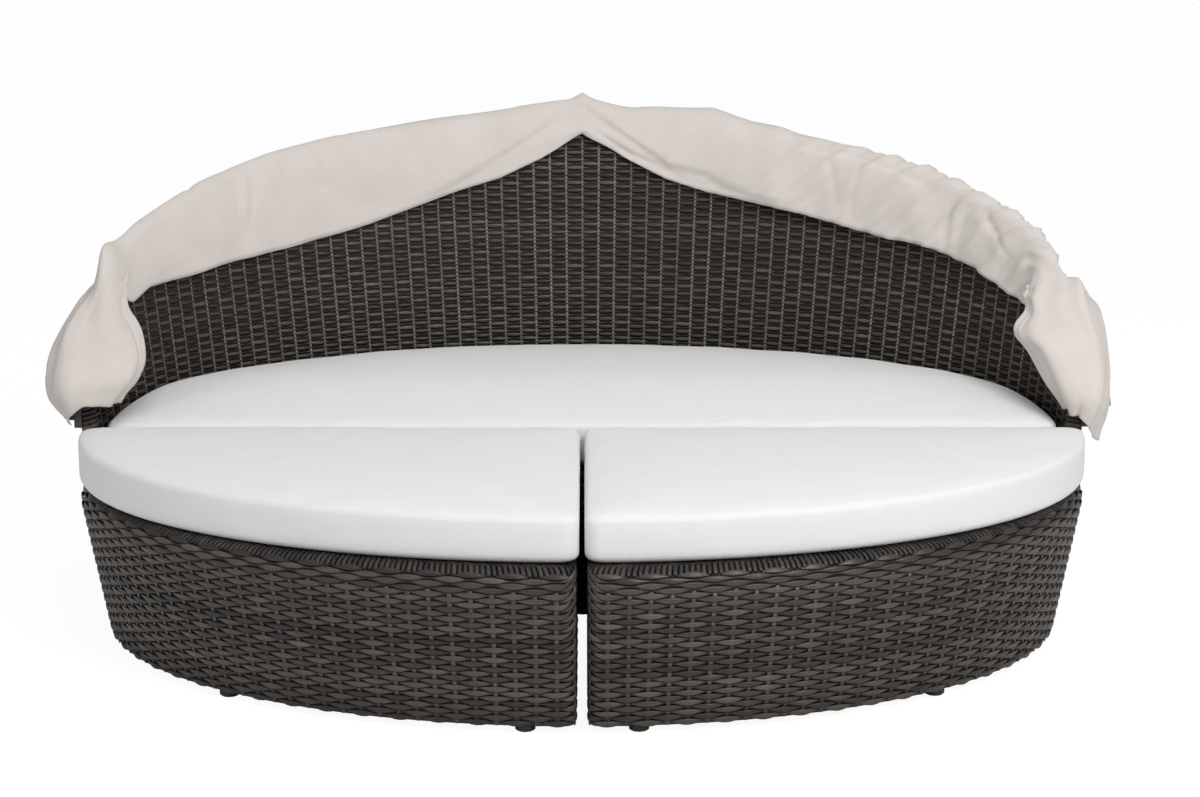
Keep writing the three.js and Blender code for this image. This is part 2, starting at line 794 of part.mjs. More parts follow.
function innerFaceY(x, z) {
  const grow = (angle) => leanAt(angle) * (z - seatLevel) - backCore - backWeaveOffset - backWeaveThickness;
  const angle = Math.acos(Math.min(Math.abs(x) / (halfWidth + grow(Math.PI / 4)), 1));
  return (halfDepth + grow(angle)) * Math.sin(angle);
}

// A point at a share of the way along a chain of [y, z] places
function alongChain(places, share) {
  const curve = new THREE.CatmullRomCurve3(places.map(([y, z]) => new THREE.Vector3(0, y, z)), false, 'centripetal');
  return curve.getPoint(share);
}

// The front flap lies over the front bow and the rim, peaks in the middle where it is pinched,
// and hangs inside the backrest
function flapPoint(u, v) {
  const x = clothReach * (2 * u - 1);
  const bow = bowAt('front', x);
  const rim = rimAtX(x);
  const off = connectorRadius + clothClearance;
  const clear = wrapRadius * (1 + rimSlantShare * (x / clothReach) ** 2) + clothClearance;
  const hem = hemApexLevel - hemDrop * (Math.abs(x) / hemDropReach) ** hemCurveShare;
  const place = alongChain([
    [bow.y + off, bow.z - off / 2],
    [bow.y + off * 0.8, bow.z + off * 0.8],
    [bow.y - off * 0.5, bow.z + off],
    [bow.y - off * 1.1, bow.z + off * 0.5],
    [Math.min(rim.y + clear * 0.2, bow.y - off * 1.15), rim.z + clear * 1.15],
    [rim.y - clear * 0.8, rim.z + clear * 0.7],
    [rim.y - clear * 1.15, rim.z - clear * 0.2],
    [(rim.y - clear * 1.3 + innerFaceY(x, hem) - clear) / 2, (rim.z + hem) / 2],
    [innerFaceY(x, hem) - clear, hem],
  ], v);
  const fold = flapFoldDepth * v ** 2 * Math.sin(flapFoldCount * Math.PI * u);
  const peak = apexRise * Math.exp(-((x / apexReach) ** 2)) * Math.sin(Math.PI * Math.min(2 * v, 1));
  return new THREE.Vector3(x, place.y - Math.abs(fold), place.z + peak);
}

// The drape runs back over the middle and rear bows, with a swag before each, and then
// hangs behind the backrest as a gathered curtain
function drapePoint(u, v) {
  const x = clothReach * (2 * u - 1);
  const [rear, mid, front] = bowNames.map((bow) => bowAt(bow, x));
  const off = connectorRadius + clothClearance;
  const size = rear.radius / bowRise;
  const swag = swagDepth * size;
  const place = alongChain([
    [front.y + off * 1.6, front.z - off * 0.4],
    [(front.y + mid.y) / 2 + off, (front.z + mid.z) / 2 - swag / 2 + off / 2],
    [mid.y - off * 0.2, mid.z + off * 1.35],
    [mid.y + off, mid.z + off * 1.1],
    [(mid.y + rear.y) / 2 + off, (mid.z + rear.z) / 2 - swag / 4 + off / 2],
    [rear.y + off * 0.5, rear.z + off],
    [rear.y + off * 1.05, rear.z + off * 0.3],
    [rear.y + off * 1.08, rear.z - curtainLength * 0.3 * size],
    [rear.y + off * 0.4, rear.z - curtainLength * 0.75 * size],
    [rear.y - off * 0.9, rear.z - curtainLength * size],
  ], v);
  const fold = curtainFoldDepth * v ** 3 * Math.sin(curtainFoldCount * Math.PI * u);
  return new THREE.Vector3(x, place.y + fold, place.z);
}

// The gathered end of the canopy hangs round a post, open at its foot and behind
function gatherPoint(side) {
  const levels = Object.values(gatherLevels);
  const widths = Object.values(gatherWidths);
  const widthAt = (z) => {
    const n = Math.min(Math.max(levels.findIndex((level) => z <= level), 1), levels.length - 1);
    const share = THREE.MathUtils.clamp((z - levels[n - 1]) / (levels[n] - levels[n - 1]), 0, 1);
    return THREE.MathUtils.lerp(widths[n - 1], widths[n], THREE.MathUtils.smoothstep(share, 0, 1));
  };
  const { inside, front, outside } = gatherHemLevels;
  return (u, v) => {
    const turn = 2 * Math.PI * (gatherStartShare + gatherSweepShare * u);
    const hem = u < 0.5
      ? THREE.MathUtils.lerp(inside, front, 2 * u)
      : THREE.MathUtils.lerp(front, outside, THREE.MathUtils.smoothstep(u, 0.5, 0.75));
    const z = THREE.MathUtils.lerp(hem, gatherTop, v);
    const angle = rimAngleWhere(rimHeight, z);
    const rim = backPoint(angle, z);
    const width = widthAt(z) * (Math.cos(turn) < 0 ? gatherInnerShare : 1);
    const fold = gatherFoldDepth * Math.sin(2 * Math.PI * gatherFoldCount * u);
    const reach = width + fold;
    return new THREE.Vector3(side.sign * (rim.x + reach * Math.cos(turn)), rim.y + reach * Math.sin(turn), z);
  };
}

// Put the model together

const sides = [{ name: 'left', sign: -1 }, { name: 'right', sign: 1 }];
const daybed = new THREE.Group();

const sofa = new THREE.Group();
const backHoles = [alongRim(hoopRadius + fitGap, hoopSides), ...ribs(ribRadius + fitGap)];
const sofaSkirt = backHoles.reduce((whole, hole) => whole.subtract(hole), toSolid(skirt(sofaPlan, sofaShoulder, sofaLip)));
sofa.add(named('sofa_frame', moduleFrame(sofaPlan, sofaRailInset), finishes.frame));
sofa.add(named('sofa_side_weave', sofaSkirt, finishes.wicker));
sofa.add(named('sofa_seat_deck', seatDeck(sofaPlan, sofaRailInset + railWidth * deckSeatShare), finishes.deck));
sofa.add(...placedFeet(sofaPlan, 'sofa', footAngleShares.sofa));
sofa.add(named('backrest_frame', backrestFrame(), finishes.frame));
sofa.add(named('backrest_rim_wrap', rimWrap(), finishes.wicker));
sofa.add(named('backrest_inner_weave', backWeave(-backWeaveOffset - backWeaveThickness), finishes.wicker));
const saddleSeats = joined(sides.map(({ sign }) => {
  const seat = new THREE.BoxGeometry(
    saddleDepth * 2,
    2 * (saddleHalfWidth + fitGap),
    2 * (saddleHalfHeight + fitGap),
  );
  return seat.translate(sign * (saddleFace - saddleDepth / 2), pivotSetback, pivotLevel);
}));
const outerWeave = toSolid(backWeave(backWeaveOffset)).subtract(saddleSeats);
sofa.add(named('backrest_outer_weave', largestPiece(outerWeave), finishes.wicker));
sides.forEach((side) => {
  sofa.add(pivotSaddle(side), pivotBolt(side));
  bowNames.forEach((bow) => sofa.add(pivotWasher(side, bow)));
});
daybed.add(sofa);

bowNames.forEach((bow) => {
  const plane = new THREE.Group();
  plane.position.set(0, pivotSetback, pivotLevel);
  plane.rotation.x = bowAngle(bow);
  sides.forEach((side) => plane.add(bowHalf(bow, side)));
  plane.add(bowConnector(bow));
  daybed.add(plane);
});

sides.forEach((side) => {
  const ottoman = new THREE.Group();
  const plan = { ...ottomanPlan, sx: side.sign };
  const prefix = `ottoman_${side.name}`;
  ottoman.add(named(`${prefix}_frame`, moduleFrame(plan, ottomanShoulder), finishes.frame));
  ottoman.add(named(`${prefix}_side_weave`, skirt(plan, ottomanShoulder, ottomanLip), finishes.wicker));
  ottoman.add(named(`${prefix}_seat_deck`, seatDeck(plan, ottomanShoulder + ottomanLip + fitGap), finishes.deck));
  ottoman.add(...placedFeet(plan, prefix, footAngleShares.ottoman));
  daybed.add(ottoman);
  const cushionPlan = {
    ...plan,
    halfWidth: halfWidth + ottomanCushionOverhang,
    halfDepth: halfDepth - ottomanCushionSetback,
    edge: ottomanCushionEdge,
    corner: cushionCorner,
  };
  daybed.add(cushion(`cushion_${side.name}`, cushionPlan, seatLevel + fitGap, cushionThickness));
});

const backInset = backCore + backWeaveOffset + backWeaveThickness;
const sofaCushionPlan = {
  ...sofaPlan,
  halfWidth: halfWidth - backInset - sofaCushionSideGap,
  halfDepth: halfDepth - backInset - sofaCushionBackGap,
  edge: sofaCushionEdge,
  corner: cushionCorner,
};
daybed.add(cushion('cushion_rear', sofaCushionPlan, seatLevel + fitGap, sofaCushionThickness));

daybed.add(sheet('canopy_front_flap', flapPoint, flapSteps));
daybed.add(sheet('canopy_back_drape', drapePoint, drapeSteps));
sides.forEach((side) => daybed.add(sheet(`canopy_gather_${side.name}`, gatherPoint(side), gatherSteps)));

// The origin stands on the floor under the middle of the whole model
const box = new THREE.Box3().setFromObject(daybed, true);
daybed.position.y = -(box.min.y + box.max.y) / 2;

export default daybed;
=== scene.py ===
"""Looks of the oval daybed: woven sides and back, three cushions and one canopy cloth.

Sizes are millimetres in the model's own frame, where Y is 0 between the ottomans and the
sofa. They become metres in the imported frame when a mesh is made.
"""

import math

import bpy
import numpy as np
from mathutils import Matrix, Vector


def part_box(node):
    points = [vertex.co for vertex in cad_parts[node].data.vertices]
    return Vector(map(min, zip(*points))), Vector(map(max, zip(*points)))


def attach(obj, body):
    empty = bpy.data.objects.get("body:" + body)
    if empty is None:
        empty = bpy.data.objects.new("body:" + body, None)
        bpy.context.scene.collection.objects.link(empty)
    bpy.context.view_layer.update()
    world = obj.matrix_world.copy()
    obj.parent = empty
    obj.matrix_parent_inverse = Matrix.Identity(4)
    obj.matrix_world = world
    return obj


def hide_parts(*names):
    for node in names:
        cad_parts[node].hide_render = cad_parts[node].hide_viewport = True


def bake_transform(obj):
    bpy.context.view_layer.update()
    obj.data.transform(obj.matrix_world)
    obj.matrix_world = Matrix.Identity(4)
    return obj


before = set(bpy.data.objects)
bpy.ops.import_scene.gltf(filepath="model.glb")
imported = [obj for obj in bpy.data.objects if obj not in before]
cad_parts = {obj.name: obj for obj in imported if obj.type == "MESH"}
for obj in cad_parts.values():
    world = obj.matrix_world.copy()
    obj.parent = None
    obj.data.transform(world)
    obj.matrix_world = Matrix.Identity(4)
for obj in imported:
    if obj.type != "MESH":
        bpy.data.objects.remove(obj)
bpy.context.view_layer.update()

# Daybed
half_width = 1050
half_depth = 777
module_edge = 9
seat_level = 330
rim_level = 953
side_taper = 50
foot_height = 14
corner_radius = 22

# Backrest
back_core = 20
back_lean = 100
end_lean_share = 0.745
rim_bend = 1.6
rim_ease = 0.42
wrap_radius = 19
back_face = 19.5

# Canopy bows
pivot_level = 440
pivot_setback = 25
bow_half_width = 1105
bow_rise = 1015
bow_fullness = 2.2
bow_angles = {"rear": 20.6, "mid": 26.1, "front": 31.6}

MM = 0.001

# The pivot bolts tell where the model's Y 0 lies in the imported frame
bolt_low, bolt_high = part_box("pivot_bolt_left")
frame_shift = (bolt_low.y + bolt_high.y) / 2 - pivot_setback * MM
back_rise = rim_level - seat_level
post_angle = math.asin(pivot_setback / half_depth)


def to_frame(points):
    """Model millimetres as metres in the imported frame."""
    placed = np.asarray(points, float) * MM
    placed[..., 1] += frame_shift
    return placed


def unit(vectors):
    return vectors / np.maximum(np.linalg.norm(vectors, axis=-1, keepdims=True), 1e-9)


def smooth(t):
    t = np.clip(t, 0, 1)
    return t * t * (3 - 2 * t)


def lengths(line):
    """The length along a line of points, from 0 at its first point."""
    return np.concatenate([[0], np.cumsum(np.linalg.norm(np.diff(line, axis=0), axis=1))])


def ring_steps(ring):
    """The distance from each point of a closed ring to the next."""
    return np.linalg.norm(np.roll(ring, -1, 0) - ring, axis=1)


def sampled(line, stations, at):
    """Points of a line at given values of a station that grows along it."""
    return np.column_stack([np.interp(at, stations, line[:, k]) for k in range(3)])


# Meshes

strand_half_thickness = 0.8


def add_mesh(name, points, faces, body, materials):
    """A mesh object that rides on a body, if one is named."""
    mesh = bpy.data.meshes.new(name)
    mesh.from_pydata(to_frame(points).tolist(), [], [list(map(int, f)) for f in faces])
    mesh.polygons.foreach_set("use_smooth", np.ones(len(mesh.polygons), bool))
    for material in materials:
        mesh.materials.append(material)
    mesh.update()
    piece = bpy.data.objects.new(name, mesh)
    bpy.context.scene.collection.objects.link(piece)
    if body:
        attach(piece, body)
    return piece


def ring_faces(index, looped=False):
    """Quads between successive rings of point numbers, capped at both ends unless they loop."""
    faces = []
    for here, following in zip(index, np.roll(index, -1, 0) if looped else index[1:]):
        faces += np.stack([here, np.roll(here, -1), np.roll(following, -1), following], 1).tolist()
    return faces if looped else faces + [index[0][::-1].tolist(), index[-1].tolist()]


class Strands:
    """Flat strands of five-sided section, gathered into one mesh with the dark shells of painted shade behind
    them.
    """

    section = np.array([(-1, -0.1), (-0.5, 1), (0.5, 1), (1, -0.1), (0, -1)])

    def __init__(self, seed):
        self.points, self.faces, self.colours, self.places, self.shells = [], [], [], [], []
        self.count = 0
        self.random = np.random.default_rng(seed)

    def add(self, line, normal, half_width, colour, closed=False):
        """One strand along a line of points, with the surface's normal at each point."""
        n = len(line)
        if closed:
            along = np.roll(line, -1, 0) - np.roll(line, 1, 0)
        else:
            along = np.gradient(line, axis=0)
        along = unit(along)
        across = unit(np.cross(normal, along))
        out = np.cross(along, across)
        half_width = np.broadcast_to(half_width, n)
        side, lift = self.section[:, 0], self.section[:, 1]
        ring = (
            line[:, None]
            + across[:, None] * (half_width[:, None] * side)[..., None]
            + out[:, None] * (strand_half_thickness * lift)[None, :, None]
        )
        size = len(self.section)
        base = self.count + np.arange(n) * size
        spans = n if closed else n - 1
        here, following = base[:spans], np.roll(base, -1)[:spans]
        for j in range(size):
            k = (j + 1) % size
            self.faces += np.stack([here + j, following + j, following + k, here + k], 1).tolist()
        if not closed:
            self.faces.append([self.count + j for j in range(size)])
            self.faces.append([int(base[-1]) + size - 1 - j for j in range(size)])
        chance = np.full(n * size, self.random.random() * 50)
        breadth = np.tile(side, n) * np.repeat(half_width, size) * MM
        self.points.append(ring.reshape(-1, 3))
        self.colours.append(np.repeat(np.broadcast_to(colour, (n, 3)), size, 0))
        self.places.append(np.stack([np.repeat(lengths(line) * MM, size), breadth, chance], 1))
        self.count += n * size

    def add_shell(self, rings, looped=True):
        """A near-black closed shell of painted shade behind the strands, through rings of equal size."""
        rings = np.asarray(rings)
        start = len(self.faces)
        self.faces += ring_faces(self.count + np.arange(rings[..., 0].size).reshape(rings.shape[:2]), looped)
        self.shells.append((start, len(self.faces)))
        flat = rings.reshape(-1, 3)
        self.points.append(flat)
        self.colours.append(np.zeros((len(flat), 3)))
        self.places.append(flat * MM)
        self.count += len(flat)

    def build(self, name, body):
        """The piece, with each strand's colour and place as attributes of its points."""
        piece = add_mesh(name, np.concatenate(self.points), self.faces, body, [wicker, shade_backing])
        # Shells take the near-black finish of painted shade, strands the wicker finish
        kinds = np.zeros(len(self.faces), np.int32)
        for start, stop in self.shells:
            kinds[start:stop] = 1
        piece.data.polygons.foreach_set("material_index", kinds)
        colours = np.column_stack([np.concatenate(self.colours), np.ones(self.count)])
        attributes = {
            "strand_colour_and_shade": ("FLOAT_COLOR", "color", colours),
            "strand_place": ("FLOAT_VECTOR", "vector", np.concatenate(self.places)),
        }
        for label, (kind, field, values) in attributes.items():
            data = piece.data.attributes.new(label, kind, "POINT").data
            data.foreach_set(field, values.astype(np.float32).ravel())
        return piece


# Materials


class Finish:
    """A new material with its principled shader, and short ways to add and link nodes."""

    def __init__(self, name):
        self.material = bpy.data.materials.new(name)
        self.material.use_nodes = True
        self.nodes = self.material.node_tree.nodes
        self.link = self.material.node_tree.links.new
        self.inputs = self.nodes["Principled BSDF"].inputs

    def node(self, kind, **values):
        made = self.nodes.new(kind)
        for key, value in values.items():
            if key in made.inputs:
                made.inputs[key].default_value = value
            else:
                setattr(made, key, value)
        return made

    def noise(self, scale, detail=2.0, place=None, **more):
        """Noise over a place that is given, or over the object's own coordinates."""
        noise = self.node("ShaderNodeTexNoise", Scale=scale, Detail=detail, **more)
        if place is None:
            place = self.node("ShaderNodeTexCoord").outputs["Object"]
        self.link(place, noise.inputs["Vector"])
        return noise.outputs["Fac"]

    def mapped(self, source, to_low, to_high, low=0.3, high=0.7):
        """A value taken from one range into another, by default from the range of most noise."""
        ranged = self.node("ShaderNodeMapRange")
        for socket, value in zip(ranged.inputs[1:5], (low, high, to_low, to_high)):
            socket.default_value = value
        self.link(source, ranged.inputs[0])
        return ranged.outputs[0]

    def math(self, operation, first, second):
        made = self.node("ShaderNodeMath", operation=operation)
        self.link(first, made.inputs[0])
        self.link(second, made.inputs[1])
        return made.outputs[0]

    def tint(self, colour, factor):
        """The base colour: a plain colour, or a socket's, made darker or lighter by a factor."""
        scale = self.node("ShaderNodeVectorMath", operation="SCALE")
        if isinstance(colour, tuple):
            scale.inputs[0].default_value = colour
        else:
            self.link(colour, scale.inputs[0])
        self.link(factor, scale.inputs["Scale"])
        self.link(scale.outputs[0], self.inputs["Base Color"])

    def roughen(self, source, low, high):
        self.link(self.mapped(source, low, high), self.inputs["Roughness"])

    def bump(self, height, strength, distance):
        made = self.node("ShaderNodeBump", Strength=strength, Distance=distance)
        self.link(height, made.inputs["Height"])
        self.link(made.outputs["Normal"], self.inputs["Normal"])


def wicker_material():
    """Woven plastic strand: streaks along the strand, a soft gloss and a fine grain."""
    finish = Finish("wicker_strand")
    # The strands' colour, with painted shade where strands pass behind and on the shoulder
    colour = finish.node("ShaderNodeAttribute", attribute_name="strand_colour_and_shade").outputs["Color"]
    place = finish.node("ShaderNodeAttribute", attribute_name="strand_place").outputs["Vector"]
    stretch = finish.node("ShaderNodeVectorMath", operation="MULTIPLY")
    stretch.inputs[1].default_value = (14, 900, 1)
    finish.link(place, stretch.inputs[0])
    streak = finish.noise(1.0, 3.0, stretch.outputs[0], Roughness=0.6)
    blotch = finish.noise(9.0, 2.0, place)
    streaks, blotches = finish.mapped(streak, 0.62, 1.42), finish.mapped(blotch, 0.8, 1.2)
    finish.tint(colour, finish.math("MULTIPLY", streaks, blotches))
    finish.roughen(streak, 0.5, 0.34)
    finish.bump(streak, 0.35, 0.0006)
    finish.inputs["Specular IOR Level"].default_value = 0.5
    return finish.material


def shade_backing_material():
    """A near-black finish of painted shade that shows between the strands."""
    finish = Finish("wicker_shadow")
    grain = finish.node("ShaderNodeTexNoise", Scale=240.0).outputs["Fac"]
    finish.tint((0.012, 0.010, 0.009), finish.mapped(grain, 0.7, 1.3))
    finish.inputs["Roughness"].default_value = 0.8
    return finish.material


def fabric_material(name, colour, pitch, sheen, contrast):
    """Plain-weave cloth: a fine thread grid, slubs and a faint mottling."""
    finish = Finish(name)
    place = finish.node("ShaderNodeTexCoord").outputs["Object"]
    # A wave texture of scale 1 repeats every 2 pi / 20
    bands = 2 * math.pi / pitch / 20
    threads = []
    for direction in "XYZ":
        wave = finish.node("ShaderNodeTexWave", Scale=bands, Distortion=1.2, Detail=1.0)
        wave.inputs["Detail Scale"].default_value = 2.0
        wave.bands_direction = direction
        finish.link(place, wave.inputs["Vector"])
        threads.append(wave.outputs["Fac"])
    weave = finish.math("ADD", finish.math("ADD", threads[0], threads[1]), threads[2])
    mottle, slub = finish.noise(14.0, 4.0), finish.noise(420.0)
    mottled = finish.mapped(mottle, 1 - contrast, 1 + contrast)
    slubbed = finish.mapped(slub, 1 - 0.6 * contrast, 1 + 0.6 * contrast)
    finish.tint(colour, finish.math("MULTIPLY", mottled, slubbed))
    finish.bump(finish.math("MULTIPLY", weave, finish.mapped(slub, 0.6, 1.3, 0.2, 0.8)), 0.25, 0.0004)
    finish.roughen(slub, 0.86, 0.96)
    finish.inputs["Sheen Weight"].default_value = sheen
    finish.inputs["Sheen Roughness"].default_value = 0.6
    finish.inputs["Specular IOR Level"].default_value = 0.2
    return finish.material


def coated_material(name, colour, roughness, metallic=0.0, grain=600.0, variation=0.15):
    """Painted or bare metal and moulded plastic, with a fine grain and faint wear."""
    finish = Finish(name)
    wear = finish.noise(18.0, 5.0)
    finish.tint(colour, finish.mapped(wear, 1 - variation, 1 + variation))
    finish.roughen(wear, roughness * 0.85, roughness * 1.15)
    finish.bump(finish.noise(grain), 0.2, 0.0003)
    finish.inputs["Metallic"].default_value = metallic
    return finish.material


wicker = wicker_material()
# A near-black finish that stands for the shade between the strands
shade_backing = shade_backing_material()
cushion_cloth = fabric_material("cushion_cloth", (0.80, 0.80, 0.80), 0.0009, 0.1, 0.012)
canopy_cloth = fabric_material("canopy_cloth", (0.655, 0.605, 0.570), 0.0011, 0.1, 0.03)
carried_finishes = {
    "frame": coated_material("frame_coating", (0.05, 0.045, 0.04), 0.45),
    "deck": coated_material("deck_board", (0.03, 0.026, 0.023), 0.6, grain=200.0),
    "foot": coated_material("foot_plastic", (0.012, 0.011, 0.011), 0.55),
    "bow": coated_material("bow_coating", (0.075, 0.055, 0.043), 0.4),
    "bolt": coated_material("bolt_steel", (0.56, 0.56, 0.55), 0.32, 1.0, 900.0, 0.06),
    "washer": coated_material("washer_nylon", (0.02, 0.02, 0.02), 0.5),
    "saddle": coated_material("saddle_coating", (0.05, 0.045, 0.04), 0.45),
}


def finish_carried_nodes():
    """Each solid that shows as it is takes the finish whose word is in its name."""
    for name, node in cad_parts.items():
        for word, material in carried_finishes.items():
            if word in name:
                node.data.materials.clear()
                node.data.materials.append(material)
                break


# Plan outlines

outline_counts = {"curve": 360, "straight": 90, "corner": 10}


def plan(quarter, side=1, width=half_width, depth=half_depth, edge=module_edge, corner=corner_radius):
    """A half oval behind Y 0 or a quarter oval in front of it, on one side or the other."""
    signs = (side, -1 if quarter else 1)
    return dict(width=width, depth=depth, edge=edge, corner=corner, quarter=quarter, signs=signs)


def outline(shape, inset_curve, inset_straight, counts):
    """A half or quarter oval with rounded corners: x, y and the share of the curved side."""
    a, b = shape["width"] - inset_curve, shape["depth"] - inset_curve
    edge = shape["edge"] + inset_straight
    first = math.asin(edge / b)
    last = math.acos(edge / a) if shape["quarter"] else math.pi - first

    def on_curve(t):
        return np.array([a * np.cos(t), b * np.sin(t)]).T

    def speed(t):
        return math.hypot(a * math.sin(t), b * math.cos(t))

    start = first + shape["corner"] / speed(first)
    stop = last - shape["corner"] / speed(last)
    curve = on_curve(np.linspace(start, stop, counts["curve"] + 1))
    points, weights = [curve], [np.ones(len(curve))]
    corners = [on_curve(last)]
    if shape["quarter"]:
        corners.append(np.array([edge, edge]))
    corners.append(on_curve(first))

    def towards(corner, other):
        return corner + (other - corner) / np.linalg.norm(other - corner) * shape["corner"]

    for n, corner in enumerate(corners):
        final = n == len(corners) - 1
        before = on_curve(stop) if n == 0 else towards(corner, corners[n - 1])
        after = on_curve(start) if final else towards(corner, corners[n + 1])
        t = (np.arange(1, counts["corner"]) / counts["corner"])[:, None]
        points.append((1 - t) ** 2 * before + 2 * t * (1 - t) * corner + t**2 * after)
        weights.append(((n == 0) * (1 - t) + final * t)[:, 0])
        if not final:
            following = towards(corners[n + 1], corner)
            share = np.linspace(0, 1, counts["straight"] + 1)[:, None]
            points.append(after + (following - after) * share)
            weights.append(np.zeros(len(share)))
    placed = np.concatenate(points) * shape["signs"]
    return placed, np.concatenate(weights)


def level_ring(shape, curve_at, straight_at, counts=outline_counts):
    """One level of a wall: (inset, height) on the curved side and on the straight sides."""
    flat, weight = outline(shape, curve_at[0], straight_at[0], counts)
    height = straight_at[1] + (curve_at[1] - straight_at[1]) * weight
    return np.column_stack([flat, height])


def ring_places(ring, count):
    """Fractional indices that cut a closed ring into equal lengths."""
    length = np.concatenate([[0], np.cumsum(ring_steps(ring))])
    return np.interp(np.linspace(0, length[-1], count, endpoint=False), length, np.arange(len(length)))


def take(ring, places):
    """Points of a closed ring at fractional indices."""
    closed = np.vstack([ring, ring[:1]])
    return sampled(closed, np.arange(len(closed)), places)


def outward(ring, rise):
    """Normals of a wall that rises in a given direction at each point of a closed ring."""
    along = np.roll(ring, -1, 0) - np.roll(ring, 1, 0)
    normal = unit(np.cross(along, rise))
    centre = ring.mean(0)
    if ((ring - centre) * normal).sum() < 0:
        normal = -normal
    return normal


# Woven sides

strand_palette = np.array([
    (0.019, 0.014, 0.012), (0.035, 0.026, 0.021), (0.070, 0.053, 0.043), (0.056, 0.046, 0.035),
    (0.058, 0.037, 0.030),
])
palette_weights = np.array([0.24, 0.3, 0.22, 0.12, 0.12])
weave_swing = 2.1
weave_depth = 3.0
row_drift = 0.35
base_row_pitch = 10.2
base_stake_pitch = 39
base_strand_half_width = 6.7
base_stake = {"half_width": 4.9, "rise": 0.5, "tone": (0.066, 0.053, 0.045)}
back_stake = {"half_width": 2.9, "rise": -0.25, "tone": (0.165, 0.145, 0.130)}
# Painted shade: how dark a strand is painted where it passes behind, for the shade there
hidden_shade = 0.36
wrap_pitch = 10.6
wrap_half_width = 4.9
# Painted shade: the strands over the shoulder are painted darker, for the shade they lie in
wrap_shade = 0.42
wrap_sink = 1.3
wrap_tuck = 4.6
samples_per_pitch = 4
base_taper = 0.34
back_taper = 0.42
back_shift = 0.5

# Degrees of the shoulder's arc that the rows climb
row_reach = 52
# Depth and thickness of the dark shell of painted shade behind the skirt's strands
shade_shell_depth = 5.4
shade_shell_thickness = 0.5
shade_shell_counts = {"curve": 90, "straight": 12, "corner": 4}

# The radius of a module's shoulder and the lip beyond it, by the side it runs along
ottoman_edge = (40, 24)
sofa_edge = (5, 2)
straight_edge = (12, 31)


def strand_tone(random):
    """One of the palette's colours, drawn by its weight."""
    return strand_palette[random.choice(len(strand_palette), p=palette_weights)]


def strand_tints(random, count, pitches):
    """A strand's colours along its length: one tone, with each lens a little lighter or darker."""
    tone = strand_tone(random)
    changes = np.interp(np.arange(count), np.linspace(0, count, pitches), random.normal(0, 0.16, pitches))
    return tone * (1 + changes)[:, None]


def weave_profile(steps, row, half_width, random, shift=0.0, taper=base_taper):
    """Depth, half width and tone of a strand that is in front for one pitch and behind for the next; the tone
    is painted shade, darker where the strand is behind.
    """
    wave = np.cos(math.pi * (steps / samples_per_pitch + row + shift))
    width = half_width * (1 - taper + taper * wave) * (1 + random.normal(0, 0.03))
    # Painted shade: the tone is darker where the strand is behind
    tone = hidden_shade + (1 - hidden_shade) * smooth((wave + 1) / 1.1)
    return weave_swing * wave, width, tone[:, None]


def add_stake(strands, line, normal, stake):
    """An upright that the rows pass in front of and behind."""
    tint = np.array(stake["tone"]) * strands.random.uniform(0.7, 1.2)
    strands.add(line + normal * stake["rise"], normal, stake["half_width"], tint)


def woven_skirt(name, shape, body, seed, curved_edge, wrap_curve=True):
    """The woven side of a base module, with its stakes and the strands wrapped over its shoulder."""
    strands = Strands(seed)
    random = strands.random
    edges = (curved_edge, straight_edge)
    shoulder = curved_edge[0]
    low = foot_height + 1
    foot = level_ring(shape, (side_taper + weave_depth, low), (weave_depth, low))
    top = level_ring(shape, *[(weave_depth, seat_level - radius) for radius, _ in edges])
    over = level_ring(shape, *[shoulder_place(radius, weave_depth, row_reach) for radius, _ in edges])
    middle = (foot + top) / 2
    pitches = 2 * round(ring_steps(middle).sum() / base_stake_pitch / 2)
    places = ring_places(middle, pitches * samples_per_pitch)
    foot, top, over = take(foot, places), take(top, places), take(over, places)
    rise = unit(top - foot)
    normal = outward((foot + top) / 2, rise)
    wall = seat_level - shoulder - foot_height
    reach = math.radians(row_reach)
    arc = reach * shoulder
    rows = round((wall + arc) / base_row_pitch)
    steps = np.arange(len(places))
    drift = random.normal(0, row_drift, (rows, pitches))
    for row in range(rows):
        share = (row + 0.5) / rows * (wall + arc) / wall
        swing, width, tone = weave_profile(steps, row, base_strand_half_width, random)
        wander = np.interp(steps, np.arange(pitches) * samples_per_pitch, drift[row])
        if share <= 1:
            base, face = foot + (top - foot) * share, normal
        else:
            turn = (share - 1) * wall / arc * reach
            climb = math.sin(turn) / math.sin(reach)
            slide = (1 - math.cos(turn)) / (1 - math.cos(reach))
            base = top + (over - top) * np.array([slide, slide, climb])
            face = unit(normal * math.cos(turn) + rise * math.sin(turn))
        line = base + face * swing[:, None] + rise * wander[:, None]
        # The tone multiplies in painted shade where the strand passes behind
        strands.add(line, face, width, strand_tints(random, len(line), pitches) * tone, closed=True)
    heights = np.linspace(0, 1, 4)[:, None]
    for i in range(0, len(places), samples_per_pitch):
        add_stake(strands, foot[i] + (top[i] - foot[i]) * heights, np.tile(normal[i], (4, 1)), base_stake)
    add_shoulder(strands, shape, edges, wrap_curve)
    # A near-black shell of painted shade behind the strands
    near, far = (shade_shell_rings(shape, edges, shade_shell_depth + more, wrap_curve) for more in (0, shade_shell_thickness))
    strands.add_shell(near + far[::-1])
    piece = strands.build(name, body)
    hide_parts(name.replace("_woven", "_weave"))


